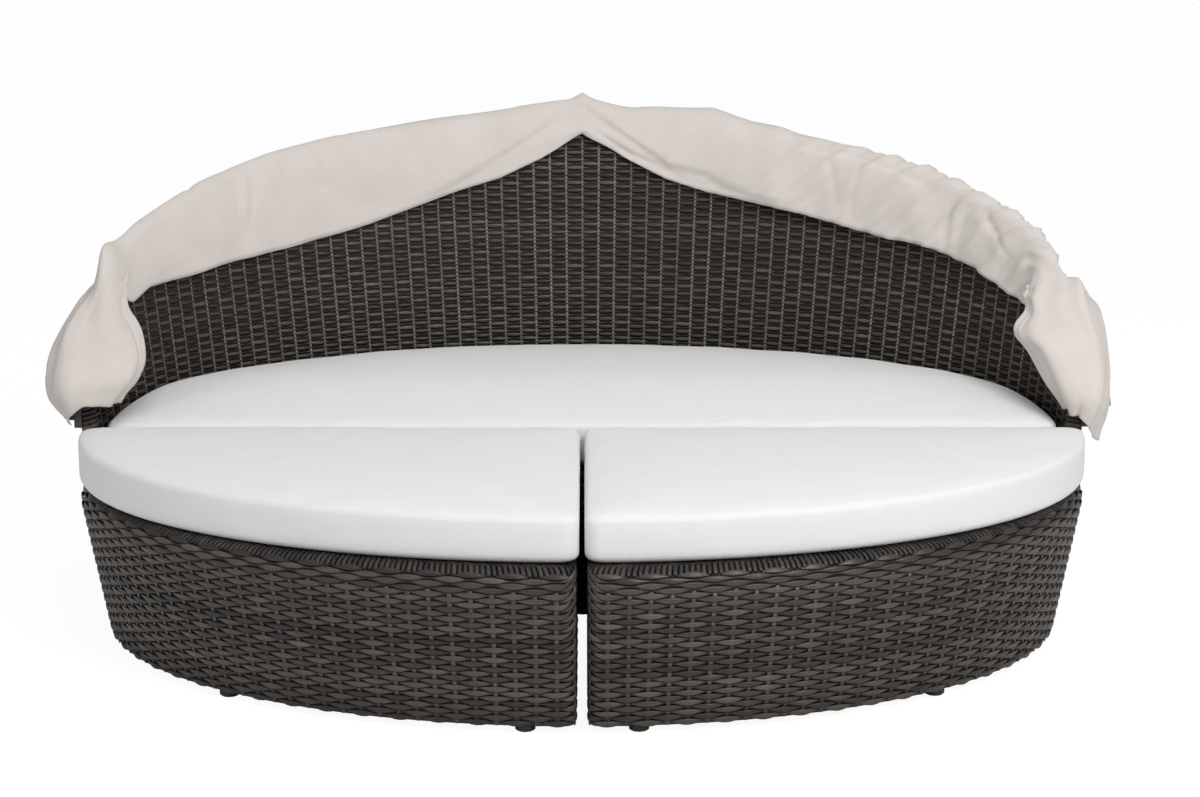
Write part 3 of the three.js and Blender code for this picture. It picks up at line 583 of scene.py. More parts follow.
def shade_shell_rings(shape, edges, depth, over_top):
    """The dark shell of painted shade behind a skirt's strands, up to its shoulder or over it to the deck."""
    low = seat_level - max(radius for radius, _ in edges)
    profiles = [[(taper + depth, foot_height), (depth, low)] for taper in (side_taper, 0)]
    if over_top:
        for profile, (radius, lip) in zip(profiles, edges):
            profile += [shoulder_place(radius, depth, turn) for turn in (30, 60, 90)]
            profile.append((radius + lip, seat_level - depth))
    return [level_ring(shape, curve, straight, shade_shell_counts) for curve, straight in zip(*profiles)]


def shoulder_place(shoulder, depth, degrees):
    """Inset and height on a shoulder's arc, at a depth below its surface."""
    turn, radius = math.radians(degrees), shoulder - depth
    return shoulder - radius * math.cos(turn), seat_level - shoulder + radius * math.sin(turn)


def add_shoulder(strands, shape, edges, wrap_curve):
    """Strands side by side over the shoulder of a skirt, from under the top row to the deck, painted darker
    as shade.
    """
    random = strands.random

    def profile(radius, lip):
        tucked = shoulder_place(radius, min(wrap_tuck, radius * 0.8), row_reach - 10)
        arc = [shoulder_place(radius, wrap_sink, turn) for turn in (row_reach - 2, 60, 70, 80, 90)]
        return [tucked] + arc + [(radius + reach, seat_level - wrap_sink) for reach in (lip / 2, lip)]

    levels = [level_ring(shape, curve, straight) for curve, straight in zip(*[profile(*e) for e in edges])]
    weights = outline(shape, 0, 0, outline_counts)[1]
    places = ring_places(levels[3], round(ring_steps(levels[3]).sum() / wrap_pitch))
    lines = np.stack([take(level, places) for level in levels], 1)
    weight = np.interp(places, np.arange(len(weights)), weights)
    centre = lines.mean((0, 1))
    for k, line in enumerate(lines):
        if weight[k] > 0.5 and not wrap_curve:
            continue
        neighbour = lines[(k + 1) % len(lines)]
        normal = unit(np.cross(neighbour - line, np.gradient(line, axis=0)))
        if (normal[2] * (line[2] - centre)).sum() < 0:
            normal = -normal
        tone = strand_tone(random)
        line = line + normal * random.uniform(-0.6, 0.15)
        # Painted shade: the shoulder's strands are darkened
        tint = tone * random.uniform(0.8, 1.2) * wrap_shade
        strands.add(line, normal, wrap_half_width * random.uniform(0.78, 1), tint)


# Woven back

back_row_pitch = 8.9
back_stake_pitch = 37
back_strand_half_width = 4.9
coil_pitch = 10.4
coil_half_width = 4.9
coil_share = 0.85
coil_start = 0.3
coil_inset = 0.3
core_inset = 2.6
first_row = 4
# Depths of the dark shell of painted shade behind the back's strands, and how far short of the posts it ends
back_shade_shell_depths = (5.4, 5.0)
back_shade_shell_end = 0.012

# Level at which the back's stakes stand evenly
even_stake_level = 600

# How far below the rim's line the parts of the back stop, as shares of the wrap's radius
top_row_tuck = 0.6
row_end_tuck = 0.55
stake_tuck = 0.5
shade_shell_tuck = 0.7

# A direction that lies about square to the rim everywhere
rim_face = (0.0, -1.0, 0.12)


def rim_height(angle):
    """Height of the rim at an angle round the oval."""
    share = np.minimum(angle, math.pi - angle) / (math.pi / 2)
    return seat_level + back_rise * (1 - (1 - share) ** rim_bend) ** rim_ease


def lean_at(angle):
    """How far the backrest leans out per unit of height, more at its middle than at its ends."""
    return (end_lean_share + (1 - end_lean_share) * np.sin(angle) ** 2) * back_lean / back_rise


def back_point(angle, z, offset=0.0):
    """A point of the backrest, or one offset outwards from it."""
    out = offset - back_core + lean_at(angle) * (z - seat_level)
    x, y = (half_width + out) * np.cos(angle), (half_depth + out) * np.sin(angle)
    return np.stack(np.broadcast_arrays(x, y, z), -1).astype(float)


def back_normal(angle, z, inward):
    """The backrest's normal, towards the seat or away from it."""
    step = 1e-3
    along = back_point(angle + step, z) - back_point(angle - step, z)
    rise = back_point(angle, z + 1) - back_point(angle, z - 1)
    normal = unit(np.cross(rise, along))
    facing = np.sign((normal[..., :2] * back_point(angle, z)[..., :2]).sum(-1))[..., None]
    return normal * facing * (-1 if inward else 1)


rim_angles = post_angle + (math.pi / 2 - post_angle) * np.linspace(0, 1, 900) ** 1.7
post_heights = np.linspace(seat_level, rim_height(post_angle), 60, endpoint=False)
rim_half = np.vstack([
    back_point(np.full(len(post_heights), post_angle), post_heights),
    back_point(rim_angles, rim_height(rim_angles)),
])
rim_line = np.vstack([rim_half, rim_half[-2::-1] * [-1, 1, 1]])


def weave_edge_angle(z):
    """The angle at which a row of the back meets the wrapped rim."""
    return np.interp(z + row_end_tuck * wrap_radius, rim_height(rim_angles), rim_angles)


def woven_back(name, node, inward, seed):
    """One woven face of the backrest, with its stakes and a dark shell of painted shade behind it."""
    strands = Strands(seed)
    random = strands.random
    sign = -1 if inward else 1
    offset = (back_face - weave_depth) * sign
    arc_angles = np.linspace(post_angle, math.pi - post_angle, 2000)
    length = lengths(back_point(arc_angles, even_stake_level, offset))
    pitches = 2 * round(length[-1] / back_stake_pitch / 2)
    steps = np.arange(pitches * samples_per_pitch + 1)
    step_angles = np.interp(steps / samples_per_pitch / pitches * length[-1], length, arc_angles)
    top = rim_level - wrap_radius * top_row_tuck
    rows = round((top - seat_level) / back_row_pitch)
    for row in range(rows):
        z = seat_level + first_row + (top - seat_level) * row / rows
        edge = weave_edge_angle(z)
        inside = (step_angles > edge) & (step_angles < math.pi - edge)
        if inside.sum() < 3:
            continue
        angles = np.concatenate([[edge], step_angles[inside], [math.pi - edge]])
        places = np.interp(angles, step_angles, steps)
        swing, width, tone = weave_profile(
            places, row, back_strand_half_width, random, back_shift, back_taper
        )
        drift = random.normal(0, row_drift, pitches + 1)
        heights = z + np.interp(places, steps[::samples_per_pitch], drift)
        normal = back_normal(angles, heights, inward)
        line = back_point(angles, heights, offset) + normal * swing[:, None]
        # The tone multiplies in painted shade where the strand passes behind
        strands.add(line, normal, width, strand_tints(random, len(line), pitches) * tone)
    for angle in step_angles[samples_per_pitch:-1:samples_per_pitch]:
        heights = np.linspace(seat_level + 1, rim_height(angle) - wrap_radius * stake_tuck, 8)
        angles = np.full(8, angle)
        line = back_point(angles, heights, offset)
        add_stake(strands, line, back_normal(angles, heights, inward), back_stake)
    # A dark shell of painted shade behind the strands, up to just below the rim
    angles = np.linspace(post_angle + back_shade_shell_end, math.pi - post_angle - back_shade_shell_end, 160)
    tops = rim_height(angles) - wrap_radius * shade_shell_tuck
    inner, outer = ((back_face - depth) * sign for depth in back_shade_shell_depths)
    low = np.full(len(angles), seat_level + 0.5)
    corners = [(low, inner), (low, outer), (tops, outer), (tops, inner)]
    strands.add_shell(np.stack([back_point(angles, z, out) for z, out in corners], 1), looped=False)
    piece = strands.build(name, "sofa")
    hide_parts(node)


def across_rim(tangent):
    """Two directions across the rim, at right angles to each other and to its tangent."""
    level = unit(np.cross(tangent, rim_face))
    return level, np.cross(tangent, level)


def wrapped_rim():
    """A strand coiled round the rim and the posts, over a dark core in the near-black finish that shows as
    painted shade between the turns.
    """
    strands = Strands(31)
    random = strands.random
    length = lengths(rim_line)
    turns = round(length[-1] / coil_pitch)
    tangents = unit(np.gradient(rim_line, axis=0))
    angle = (np.linspace(0, 2 * math.pi, 13) + coil_start)[:, None]
    for turn in range(turns):
        at = (turn + np.linspace(0, 1, 13) * coil_share) / turns * length[-1]
        level, other = across_rim(unit(sampled(tangents, length, at)))
        normal = level * np.cos(angle) + other * np.sin(angle)
        line = sampled(rim_line, length, at) + normal * (wrap_radius - strand_half_thickness - coil_inset)
        tone = strand_tone(random)
        strands.add(line, normal, coil_half_width, tone * random.uniform(0.8, 1.2))
    core = rim_line[::12]
    level, other = across_rim(unit(np.gradient(core, axis=0)))
    spokes = np.linspace(0, 2 * math.pi, 12, endpoint=False)[None, :, None]
    out = level[:, None] * np.cos(spokes) + other[:, None] * np.sin(spokes)
    # The core takes the near-black finish, painted shade in the gaps between turns
    strands.add_shell(core[:, None] + (wrap_radius - core_inset) * out, looped=False)
    piece = strands.build("backrest_rim_coil", "sofa")
    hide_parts("backrest_rim_wrap")


# Cushions

cushion_counts = {"curve": 170, "straight": 70, "corner": 14}
cushion_crown = 16
crown_reach = 300
edge_roll = 15
crown_share = 0.42
slump_reach = 330
pucker_ring = 18
edge_pucker = 1.3
side_pucker = 1.2
top_dent = 0.45


def cushion(name, shape, body, thickness, seed, slump=0):
    """A filled cushion: flat below, rolled at its edges and crowned on top."""
    random = np.random.default_rng(seed)
    bottom = seat_level + 0.3
    top = bottom + thickness
    quarter_turn = [(edge_roll * (1 - math.cos(t)), edge_roll * (1 - math.sin(t)))
                    for t in np.radians([90, 70, 45, 20, 0])]
    levels = [(crown_reach * s, bottom) for s in (0.95, 0.6, 0.3, 0.12)]
    levels += [(inset, bottom + rise) for inset, rise in quarter_turn]
    levels += [(0, bottom + thickness * s) for s in (0.3, 0.42, 0.54, 0.66)]
    levels += [(inset, top - rise) for inset, rise in reversed(quarter_turn)]
    reach = shape["depth"] * crown_share
    shares = np.array([0.09, 0.13, 0.18, 0.24, 0.31, 0.4, 0.5, 0.62, 0.75, 0.88, 1])
    levels += [(reach * s, top + cushion_crown * (1 - (1 - s) ** 3)) for s in shares]
    rings = [level_ring(shape, level, level, cushion_counts) for level in levels]
    innermost = rings[-1]
    rings += [innermost + (innermost.mean(0) - innermost) * share for share in (0.2, 0.4, 0.6, 0.8, 0.94)]
    rings = pucker(np.stack(rings), thickness, random)
    height = (rings[:, :, 2] - bottom) / thickness
    rings[:, :, 2] -= slump * smooth(height) * (1 - smooth(np.abs(rings[:, :, 1]) / slump_reach))
    points = rings.reshape(-1, 3)
    faces = ring_faces(np.arange(len(points)).reshape(rings.shape[:2]))
    if math.prod(shape["signs"]) < 0:
        faces = [face[::-1] for face in faces]
    piece = add_mesh(name + "_cover", points, faces, body, [cushion_cloth])
    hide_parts(name)


def pucker(rings, thickness, random):
    """Adds ripples to the sides, puckers along the upper edge and soft dents on top."""
    step = ring_steps(rings[10])
    along = np.concatenate([[0], np.cumsum(step)[:-1]])
    waves = [(random.integers(9, 30), random.uniform(0, 6.28), random.uniform(0.3, 1)) for _ in range(6)]
    ripple = sum(a * np.cos(2 * math.pi * k * along / step.sum() + p) for k, p, a in waves) / 3
    inward = unit(rings[:, :, :2].mean(1, keepdims=True) - rings[:, :, :2])
    for i in range(len(rings)):
        z = rings[i, :, 2].mean()
        rings[i, :, 2] += edge_pucker * math.exp(-((i - pucker_ring) ** 2) / 8.0) * ripple
        belly = math.sin(math.pi * min(max((z - seat_level) / thickness, 0), 1))
        rings[i, :, :2] += inward[i] * ((side_pucker * ripple * belly)[:, None])
    dents = [
        (random.uniform(-1, 1, 2), random.uniform(0.004, 0.012), random.uniform(0, 6.28)) for _ in range(9)
    ]
    x, y, z = rings[:, :, 0], rings[:, :, 1], rings[:, :, 2]
    above = smooth((z - (seat_level + thickness) + 6) / 12)
    wave = sum(np.sin((x * d[0] + y * d[1]) * k + p) for d, k, p in dents)
    rings[:, :, 2] += above * wave * top_dent
    return rings


# Canopy cloth

tube_off = 16
rim_off = 26
canopy_columns = {"main": 130, "end": 62}
gather_top = 740
gather_blend = 0.32

# Height of the flap's hem by distance from the middle
flap_levels = {
    "left": [(0, 940), (100, 880), (200, 836), (300, 808), (400, 776), (500, 743), (600, 720), (700, 700),
             (800, 686), (900, 668), (970, 662), (1000, 640)],
    "right": [(0, 940), (100, 884), (200, 834), (300, 806), (400, 787), (500, 770), (600, 750), (700, 728),
              (800, 718), (900, 684), (970, 640), (1000, 620)],
}

# How far the cloth stands off the rim and off the front bow, by distance from the middle
rim_lifts = {
    "left": [(0, 74), (12, 66), (30, 58), (77, 54), (172, 42), (267, 35), (360, 36), (452, 39), (543, 42),
             (632, 43), (719, 41), (803, 39), (883, 36), (958, 36), (1001, 40), (1050, 36)],
    "right": [(0, 74), (12, 64), (30, 56), (66, 48), (113, 40), (208, 46), (302, 54), (349, 42), (396, 33),
              (488, 31), (578, 30), (667, 29), (753, 29), (835, 29), (914, 30), (987, 40), (1050, 44)],
}
bow_lifts = {
    "left": [(0, 52), (12, 44), (30, 38), (78, 33), (172, 17), (268, 11), (362, 11), (456, 14), (549, 16),
             (639, 14), (728, 12)],
    "right": [(0, 52), (12, 42), (30, 36), (66, 26), (114, 15), (209, 20), (305, 28), (352, 16), (398, 11),
              (492, 11)],
}

loop_depths = (270, 230)
hem_clearance = 7
hem_narrowing = 0.985
curtain_drop = 185
cloth_thickness = 1.4
hem_gather = 0.14

# Each gather's outline by height, and the height of its hem by degrees round the post
gather_outer = {
    "left": [(415, 1082), (450, 1108), (475, 1120), (500, 1128), (528, 1131), (560, 1127), (613, 1106),
             (650, 1085), (683, 1066), (740, 1045)],
    "right": [(385, 1090), (450, 1106), (528, 1114), (596, 1116), (643, 1108), (677, 1100), (713, 1082),
              (740, 1064)],
}
gather_inner = {
    "left": [(460, 975), (475, 966), (500, 952), (524, 938), (545, 930), (570, 934), (613, 950), (645, 982),
             (675, 984), (740, 950)],
    "right": [(400, 1034), (446, 1024), (500, 990), (538, 968), (572, 952), (606, 916), (640, 968),
              (676, 948), (723, 944), (740, 940)],
}
gather_front = [(415, 52), (450, 66), (528, 88), (613, 80), (683, 62), (740, 40)]
gather_hems = {
    "left": [(146, 468), (200, 468), (266, 470), (342, 420), (372, 432)],
    "right": [(146, 452), (200, 452), (266, 444), (342, 388), (372, 400)],
}
gather_back = 58

# Degrees round the post, and share of the outline, of the keys from the hem to behind the bow
gather_turns = [146, 170, 198, 230, 266, 304, 342, 372]
gather_shares = [0.92, 1, 1, 1, 1, 1, 1, 0.5]

# The fold that stands up on each gather
lobe = {
    "left": {"place": (1020, 225, 700), "reach": (24, 70, 60), "rise": 58},
    "right": {"place": (1062, 170, 660), "reach": (26, 60, 50), "rise": 34},
}

# The cloth's keys from its front hem to its rear one, each with the number of rows up to the next
row_keys = {
    "hem": 7, "hang": 8, "rim_in": 5, "rim_up": 5, "rim_top": 6, "bow_fore": 6, "bow_aft": 6, "bow_behind": 4,
    "drop_1": 6, "loop_1": 6, "rise_1": 4, "mid_fore": 2, "mid_top": 2, "mid_behind": 6, "loop_2": 6,
    "rise_2": 3, "rear_fore": 2, "rear_top": 2, "rear_behind": 4, "curtain_1": 5, "curtain_2": 5,
    "curtain_hem": 0,
}
span_counts = list(row_keys.values())[:-1]
key_rows = dict(zip(row_keys, np.cumsum([0, *span_counts])))


def bow_points(share, bow):
    """Points and outward directions on the right-hand half of a bow, from its pivot up."""
    turn = math.pi / 2 * share
    power = 2 / bow_fullness
    x = bow_half_width * np.cos(turn) ** power
    r = bow_rise * np.sin(turn) ** power
    tilt = math.radians(bow_angles[bow])
    y, z = pivot_setback + r * math.cos(tilt), pivot_level + r * math.sin(tilt)
    gx = (x / bow_half_width) ** (bow_fullness - 1) / bow_half_width
    gr = (r / bow_rise) ** (bow_fullness - 1) / bow_rise
    size = np.hypot(gx, gr)
    out = np.stack([gx / size, gr / size * math.cos(tilt), gr / size * math.sin(tilt)], -1)
    face = np.array([0, -math.sin(tilt), math.cos(tilt)])
    up = out * math.sin(tilt) + face * math.cos(tilt)
    back = out * math.cos(tilt) - face * math.sin(tilt)
    return np.stack([x, y, z], -1), unit(up), unit(back)


def front_angle(line):
    """The angle of points about the pivot line, as seen from the front."""
    return np.arctan2(line[:, 2] - pivot_level, line[:, 0])


def mixed(a, b, at_a, at_b, t):
    """The straight line through a and b, read at t."""
    return (at_b - t) / (at_b - at_a) * a + (t - at_a) / (at_b - at_a) * b


def chain(keys, counts):
    """Smooth points through keys of shape (keys, columns, 3), with a count for each span."""
    ends = [2 * keys[0] - keys[1], *keys, 2 * keys[-1] - keys[-2]]
    made = []
    for i, count in enumerate(counts):
        p0, p1, p2, p3 = ends[i : i + 4]
        pairs = ((p0, p1), (p1, p2), (p2, p3))
        gaps = [np.maximum(np.linalg.norm(b - a, axis=-1, keepdims=True), 1e-3) ** 0.5 for a, b in pairs]
        t1 = gaps[0]
        t2 = t1 + gaps[1]
        t3 = t2 + gaps[2]
        last = i == len(counts) - 1
        for share in np.linspace(0, 1, count + (1 if last else 0), endpoint=last):
            t = t1 + (t2 - t1) * share
            a1, a2, a3 = mixed(p0, p1, 0, t1, t), mixed(p1, p2, t1, t2, t), mixed(p2, p3, t2, t3, t)
            made.append(mixed(mixed(a1, a2, 0, t2, t), mixed(a2, a3, t1, t3, t), t1, t2, t))
    return np.stack(made)


def table(rows, x):
    """A value read between the pairs of a table."""
    xs, values = zip(*rows)
    return np.interp(x, xs, values)


def eased_table(rows, x, reach=16):
    """A table read as a mean over a short reach, which rounds its corners."""
    return sum(table(rows, x + reach * step) for step in (-1, -0.6, -0.2, 0.2, 0.6, 1)) / 6


def inner_face_y(x, z, clear):
    """How far back the inside of the backrest lies at a place across and up, less a clearance."""
    angle = np.arccos(np.clip(x / half_width, 0, 1))
    for _ in range(12):
        out = -back_face - clear - back_core + lean_at(angle) * (z - seat_level)
        angle = np.arccos(np.clip(x / (half_width + out), 0, 1))
    return (half_depth + out) * np.sin(angle)


def main_keys(side, share):
    """Where the cloth passes over the rim and the bows, one row for each of row_keys."""
    front, f_up, f_back = bow_points(share, "front")
    mid, m_up, m_back = bow_points(share, "mid")
    rear, r_up, r_back = bow_points(share, "rear")
    stations = np.arange(len(rim_half))
    place = np.interp(front_angle(front), front_angle(rim_half), stations)
    rim = sampled(rim_half, stations, place)
    tangent = unit(sampled(unit(np.gradient(rim_half, axis=0)), stations, place))
    inward = back_normal(np.arctan2(rim[:, 1] / half_depth, rim[:, 0] / half_width), rim[:, 2], True)
    up = unit(np.cross(tangent, inward))
    up *= np.sign((up * np.array([1.0, 0, 1.0])).sum(1))[:, None]
    bow_lift = table(bow_lifts[side], front[:, 0])[:, None]
    crest = np.maximum(table(rim_lifts[side], rim[:, 0]) * up[:, 2], wrap_radius + 4)[:, None]
    size = ((front[:, 1] - pivot_setback) / math.cos(math.radians(bow_angles["front"])) / bow_rise)[:, None]
    hem_x, hem_z = rim[:, 0] * hem_narrowing, table(flap_levels[side], rim[:, 0])
    hem = np.column_stack([hem_x, inner_face_y(hem_x, hem_z, hem_clearance), hem_z])
    down = np.array([0, 0, -1.0])
    rim_in = rim + inward * rim_off - up * 5
    d1, d2 = (size * depth for depth in loop_depths)
    level = unit(f_back * np.array([1, 1, 0]))
    drop = curtain_drop * size
    return np.stack([
        hem,
        (hem + rim_in) / 2 + inward * 5,
        rim_in,
        rim + inward * 18 + up * (6 + crest * 0.5),
        rim + up * crest + inward * 2,
        front - f_back * tube_off * 0.4 + f_up * bow_lift,
        front + f_back * tube_off * 0.6 + f_up * (4 + bow_lift * 0.6),
        front + f_back * tube_off * 1.1 - f_up * 2,
        front + level * tube_off * 1.05 + down * d1 * 0.5,
        (front + mid) / 2 + down * d1 + level * 4,
        mid - level * tube_off * 0.9 + down * d1 * 0.35,
        mid - m_back * tube_off + m_up * 3,
        mid + m_up * tube_off,
        mid + m_back * tube_off,
        (mid + rear) / 2 + down * d2 + level * 2,
        rear - level * tube_off * 0.9 + down * d2 * 0.35,
        rear - r_back * tube_off + r_up * 3,
        rear + r_up * tube_off,
        rear + r_back * tube_off * 1.05,
        rear + level * tube_off * 1.1 + down * drop * 0.4,
        rear + level * tube_off * 0.8 + down * drop * 0.75,
        rear + level * tube_off * 0.2 + down * drop,
    ])


def bundle_keys(side, fall):
    """Where the cloth passes round a post, for shares of the way down from the gather's top."""
    turns = np.radians(gather_turns)[:, None]
    hems = table(gather_hems[side], gather_turns)[:, None]
    z = gather_top + (hems - gather_top) * fall[None, :]
    angles = np.interp(z, rim_height(rim_angles), rim_angles)
    centre = back_point(angles, z)
    outer = eased_table(gather_outer[side], z) - centre[..., 0]
    inner = centre[..., 0] - eased_table(gather_inner[side], z)
    front = eased_table(gather_front, z)
    across = np.where(np.cos(turns) > 0, outer, inner) * np.cos(turns)
    fore = np.where(np.sin(turns) < 0, front, gather_back) * np.sin(turns)
    share = np.array(gather_shares)[:, None] * (1 - hem_gather * smooth((fall - 0.8) / 0.2))
    return np.stack([centre[..., 0] + across * share, centre[..., 1] + fore * share, z], -1)


def canopy_half(side):
    """The cloth of one side on the right-hand half, as rows of keys and columns from the crown out."""
    shares = np.linspace(1, 0.02, 4000)
    line = bow_points(shares, "front")[0]
    rim_z = np.interp(front_angle(line), front_angle(rim_half), rim_half[:, 2])
    start = np.argmax(rim_z < gather_top)
    length = lengths(line)
    main = np.interp(np.linspace(0, length[start], canopy_columns["main"] + 1), length, shares)
    fall = np.linspace(0, 1, canopy_columns["end"] + 1)[1:]
    ends = np.interp(length[start] + (length[-1] - length[start]) * fall, length, shares)
    keys = main_keys(side, np.concatenate([main, ends]))
    falls = np.concatenate([np.zeros(len(main)), fall])
    bundle = bundle_keys(side, falls)
    blend = smooth(falls / gather_blend)[None, :, None] * np.ones((len(bundle), 1, 1))
    blend[-1] *= 0.4
    keys[: len(bundle)] = keys[: len(bundle)] * (1 - blend) + bundle * blend
    return keys, falls


def canopy_lattice():
    """The whole cloth as rows and columns of points, and each column's way down its gather."""
    right, falls = canopy_half("right")
    left, _ = canopy_half("left")
    left = left * np.array([-1, 1, 1])
    keys = np.concatenate([left[:, :0:-1], right], 1)
    return chain(keys, span_counts), np.concatenate([falls[:0:-1], falls])


# Folds of the cloth, with places as millimetres along the front bow's crest and down from it
bow_clearance = 5.0
hem_wave_height = 6
curtain_wave_height = 6
ridge_height = 13
cloth_ripple = 1.2

# Drag folds, each with its height, pitch, slant, sharpness and phase
drag_folds = {
    "right": [(8.0, 92, 0.9, 2.6, 0.4), (5.0, 47, 1.4, 2.2, 2.0)],
    "left": [(3.0, 190, -0.7, 2.0, 1.1)],
}

# Creases, each with its start, its end, its width and its rise
canopy_creases = [
    ((-850, 150), (-833, 262), 8, -7),
    ((-806, 140), (-826, 268), 9, -8),
    ((-829, 190), (-829, 270), 9, 7),
    ((-721, 110), (-748, 176), 8, -5),
    ((-652, 98), (-630, 166), 9, -5),
    ((-636, 182), (-545, 233), 10, -6),
    ((-567, 68), (-512, 133), 10, -5),
    ((-1065, 60), (-790, 42), 5, -2.5),
    ((-790, 42), (-462, 40), 5, -2.5),
    ((-960, 90), (-905, 190), 9, -6),
    ((897, 255), (916, 186), 10, -9),
    ((925, 240), (968, 166), 11, -9),
    ((908, 262), (945, 180), 12, 8),
    ((1005, 205), (1050, 262), 10, -8),
    ((628, 120), (647, 228), 8, -5),
    ((700, 130), (672, 224), 8, -5),
    ((30, 92), (119, 134), 6, -6),
    ((119, 134), (223, 180), 6, -6),
    ((223, 180), (310, 220), 6, -5),
]

# Edges of cloth layers, each with its line, its rise and its softness, which is below 0 where the
# part below the line stands higher
canopy_layers = [
    ([(-480, 250), (-380, 222), (-212, 140), (-107, 88), (-10, 24)], 6.0, 6),
    ([(-90, 30), (14, 44), (136, 108), (223, 165), (380, 208), (540, 232)], 8.0, 6),
    ([(300, 56), (458, 78), (561, 90), (656, 100), (750, 116), (819, 140), (880, 172)], 9.0, -9),
]


def canopy_folds(points, falls):
    """Drag folds, creases, gathers round the posts and a wavy hem, along the cloth's own normals."""
    rows, columns = points.shape[:2]
    row = np.arange(rows)[:, None]
    crest, behind = key_rows["bow_fore"], key_rows["bow_behind"]
    normal = unit(np.cross(np.gradient(points, axis=1), np.gradient(points, axis=0)))
    if normal[crest, columns // 2, 2] < 0:
        normal = -normal
    s = lengths(points[crest])
    s = (s - s[columns // 2])[None, :]
    fall_lengths = np.cumsum(np.linalg.norm(np.diff(points, axis=0), axis=2), 0)
    down = np.concatenate([np.zeros((1, columns)), fall_lengths])
    from_crest = down[crest][None, :] - down
    flap = smooth((behind - row) / 6.0)
    gathered = smooth(falls / 0.4)[None, :]

    def drag(height, pitch, slant, sharpness, phase):
        sway = 0.9 * np.sin(s / 190.0 + phase)
        wave = np.cos(2 * math.pi * (s + slant * from_crest) / pitch + phase + sway)
        return height * (0.5 + 0.5 * wave) ** sharpness

    right_folds, left_folds = (sum(drag(*fold) for fold in drag_folds[side]) for side in ("right", "left"))
    right_folds = right_folds * (0.3 + 0.7 * smooth((s - 420) / 160))
    sides = smooth((s - 60) / 80) * right_folds + smooth((-s - 60) / 80) * left_folds
    lift = flap * sides * smooth((from_crest - 34) / 70) * (1 - gathered)
    for crease in canopy_creases:
        lift += crease_lift(s, from_crest, *crease) * flap
    for layer in canopy_layers:
        lift += layer_lift(s, from_crest, *layer) * flap * (1 - gathered)
    hem_wave = hem_wave_height * (0.5 + 0.5 * np.sin(s / 23.0 + 2.3 * np.sin(s / 120.0)))
    lift += flap * (hem_wave * smooth(1 - down / 70)) * (1 - gathered)
    round_share = row / behind
    warp = round_share + 0.03 * np.sin(7 * round_share + s / 130.0) + 0.02 * np.sin(s / 47.0)
    ridges = (0.5 + 0.5 * np.cos(2 * math.pi * 4.3 * warp + 0.7)) ** 2.4
    ridges = ridges + 0.45 * (0.5 + 0.5 * np.cos(2 * math.pi * 9.1 * warp + 2.1 + s / 90.0)) ** 2
    along_post = 0.75 + 0.25 * np.sin(s / 55.0)
    lift += gathered * ridge_height * (ridges - 0.45) * along_post * (round_share <= 1.15)
    hanging = smooth((row - key_rows["drop_1"]) / 5.0) * (1 - gathered)
    lift += hanging * curtain_wave_height * np.sin(s / 31.0 + 1.6 * np.sin(s / 170.0)) * smooth(down / 900)
    lift += cloth_ripple * np.sin(s / 37.0 + down / 53.0) * np.sin(down / 41.0 - s / 90.0)
    over_joint = np.exp(-((s / 50) ** 2))
    above_eye = (1 - smooth((falls - 0.55) / 0.3))[None, :]
    lift += 1.6 * bow_clearance * gathered * above_eye * np.exp(-(((row - behind) / 2.5) ** 2))
    for name in ("mid_top", "rear_top"):
        near = np.exp(-(((row - key_rows[name]) / 3.0) ** 2))
        clearance = bow_clearance * (1 + 2.6 * gathered * above_eye + 1.6 * over_joint)
        lift = np.where(lift < 0, lift * (1 - near), lift) + clearance * near
    return raised_lobes(points + normal * lift[..., None])


def crease_lift(s, down, start, end, width, rise):
    """A ridge, or a valley where rise is negative, along a straight line on the cloth."""
    run = np.array([end[0] - start[0], end[1] - start[1]])
    length = np.hypot(*run)
    along = ((s - start[0]) * run[0] + (down - start[1]) * run[1]) / length
    aside = (-(s - start[0]) * run[1] + (down - start[1]) * run[0]) / length
    share = np.clip(along / length, 0, 1)
    past = np.maximum(np.maximum(-along, along - length), 0) / (2.5 * width)
    return rise * (1 - 0.5 * share) * np.exp(-((aside / width) ** 2) - past**2)


def layer_lift(s, down, edge, rise, soft):
    """The edge of a cloth layer, where one side of a line stands higher than the other."""
    xs, ys = zip(*edge)
    inside = smooth((s - xs[0]) / 120) * smooth((xs[-1] - s) / 60)
    return rise * inside * smooth((np.interp(s, xs, ys) - down) / soft) * smooth(down / 30)


def raised_lobes(points):
    """A rounded fold that stands up at the top of each gather."""
    for side, sign in (("left", -1), ("right", 1)):
        shape = lobe[side]
        offset = (points - np.array(shape["place"]) * [sign, 1, 1]) / shape["reach"]
        near = np.exp(-(offset**2).sum(-1))
        points = points + near[..., None] * shape["rise"] * np.array([0.1 * sign, -0.25, 1])
    return points


def canopy():
    """The cloth as one sheet that follows all three bows."""
    points, falls = canopy_lattice()
    points = canopy_folds(points, falls)
    index = np.arange(points[..., 0].size).reshape(points.shape[:2])
    quads = np.stack([index[:-1, :-1], index[:-1, 1:], index[1:, 1:], index[1:, :-1]], -1).reshape(-1, 4)
    piece = add_mesh("canopy_sheet", points.reshape(-1, 3), quads, None, [canopy_cloth])
    thick = piece.modifiers.new("thickness", "SOLIDIFY")
    thick.thickness = cloth_thickness * MM
    thick.offset = 0
    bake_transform(piece)
    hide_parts("canopy_front_flap", "canopy_back_drape", "canopy_gather_left", "canopy_gather_right")


# Stage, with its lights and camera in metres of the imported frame

floor_colour = (0.9, 0.9, 0.9, 1)
floor_glow = 1.08
glow_share = 0.86
backdrop_light = 0.42
camera_place = (0.0074, -5.355 + frame_shift, 1.688)
camera_lens = 78.4
camera_pitch = 12.71
camera_turn = 0.32


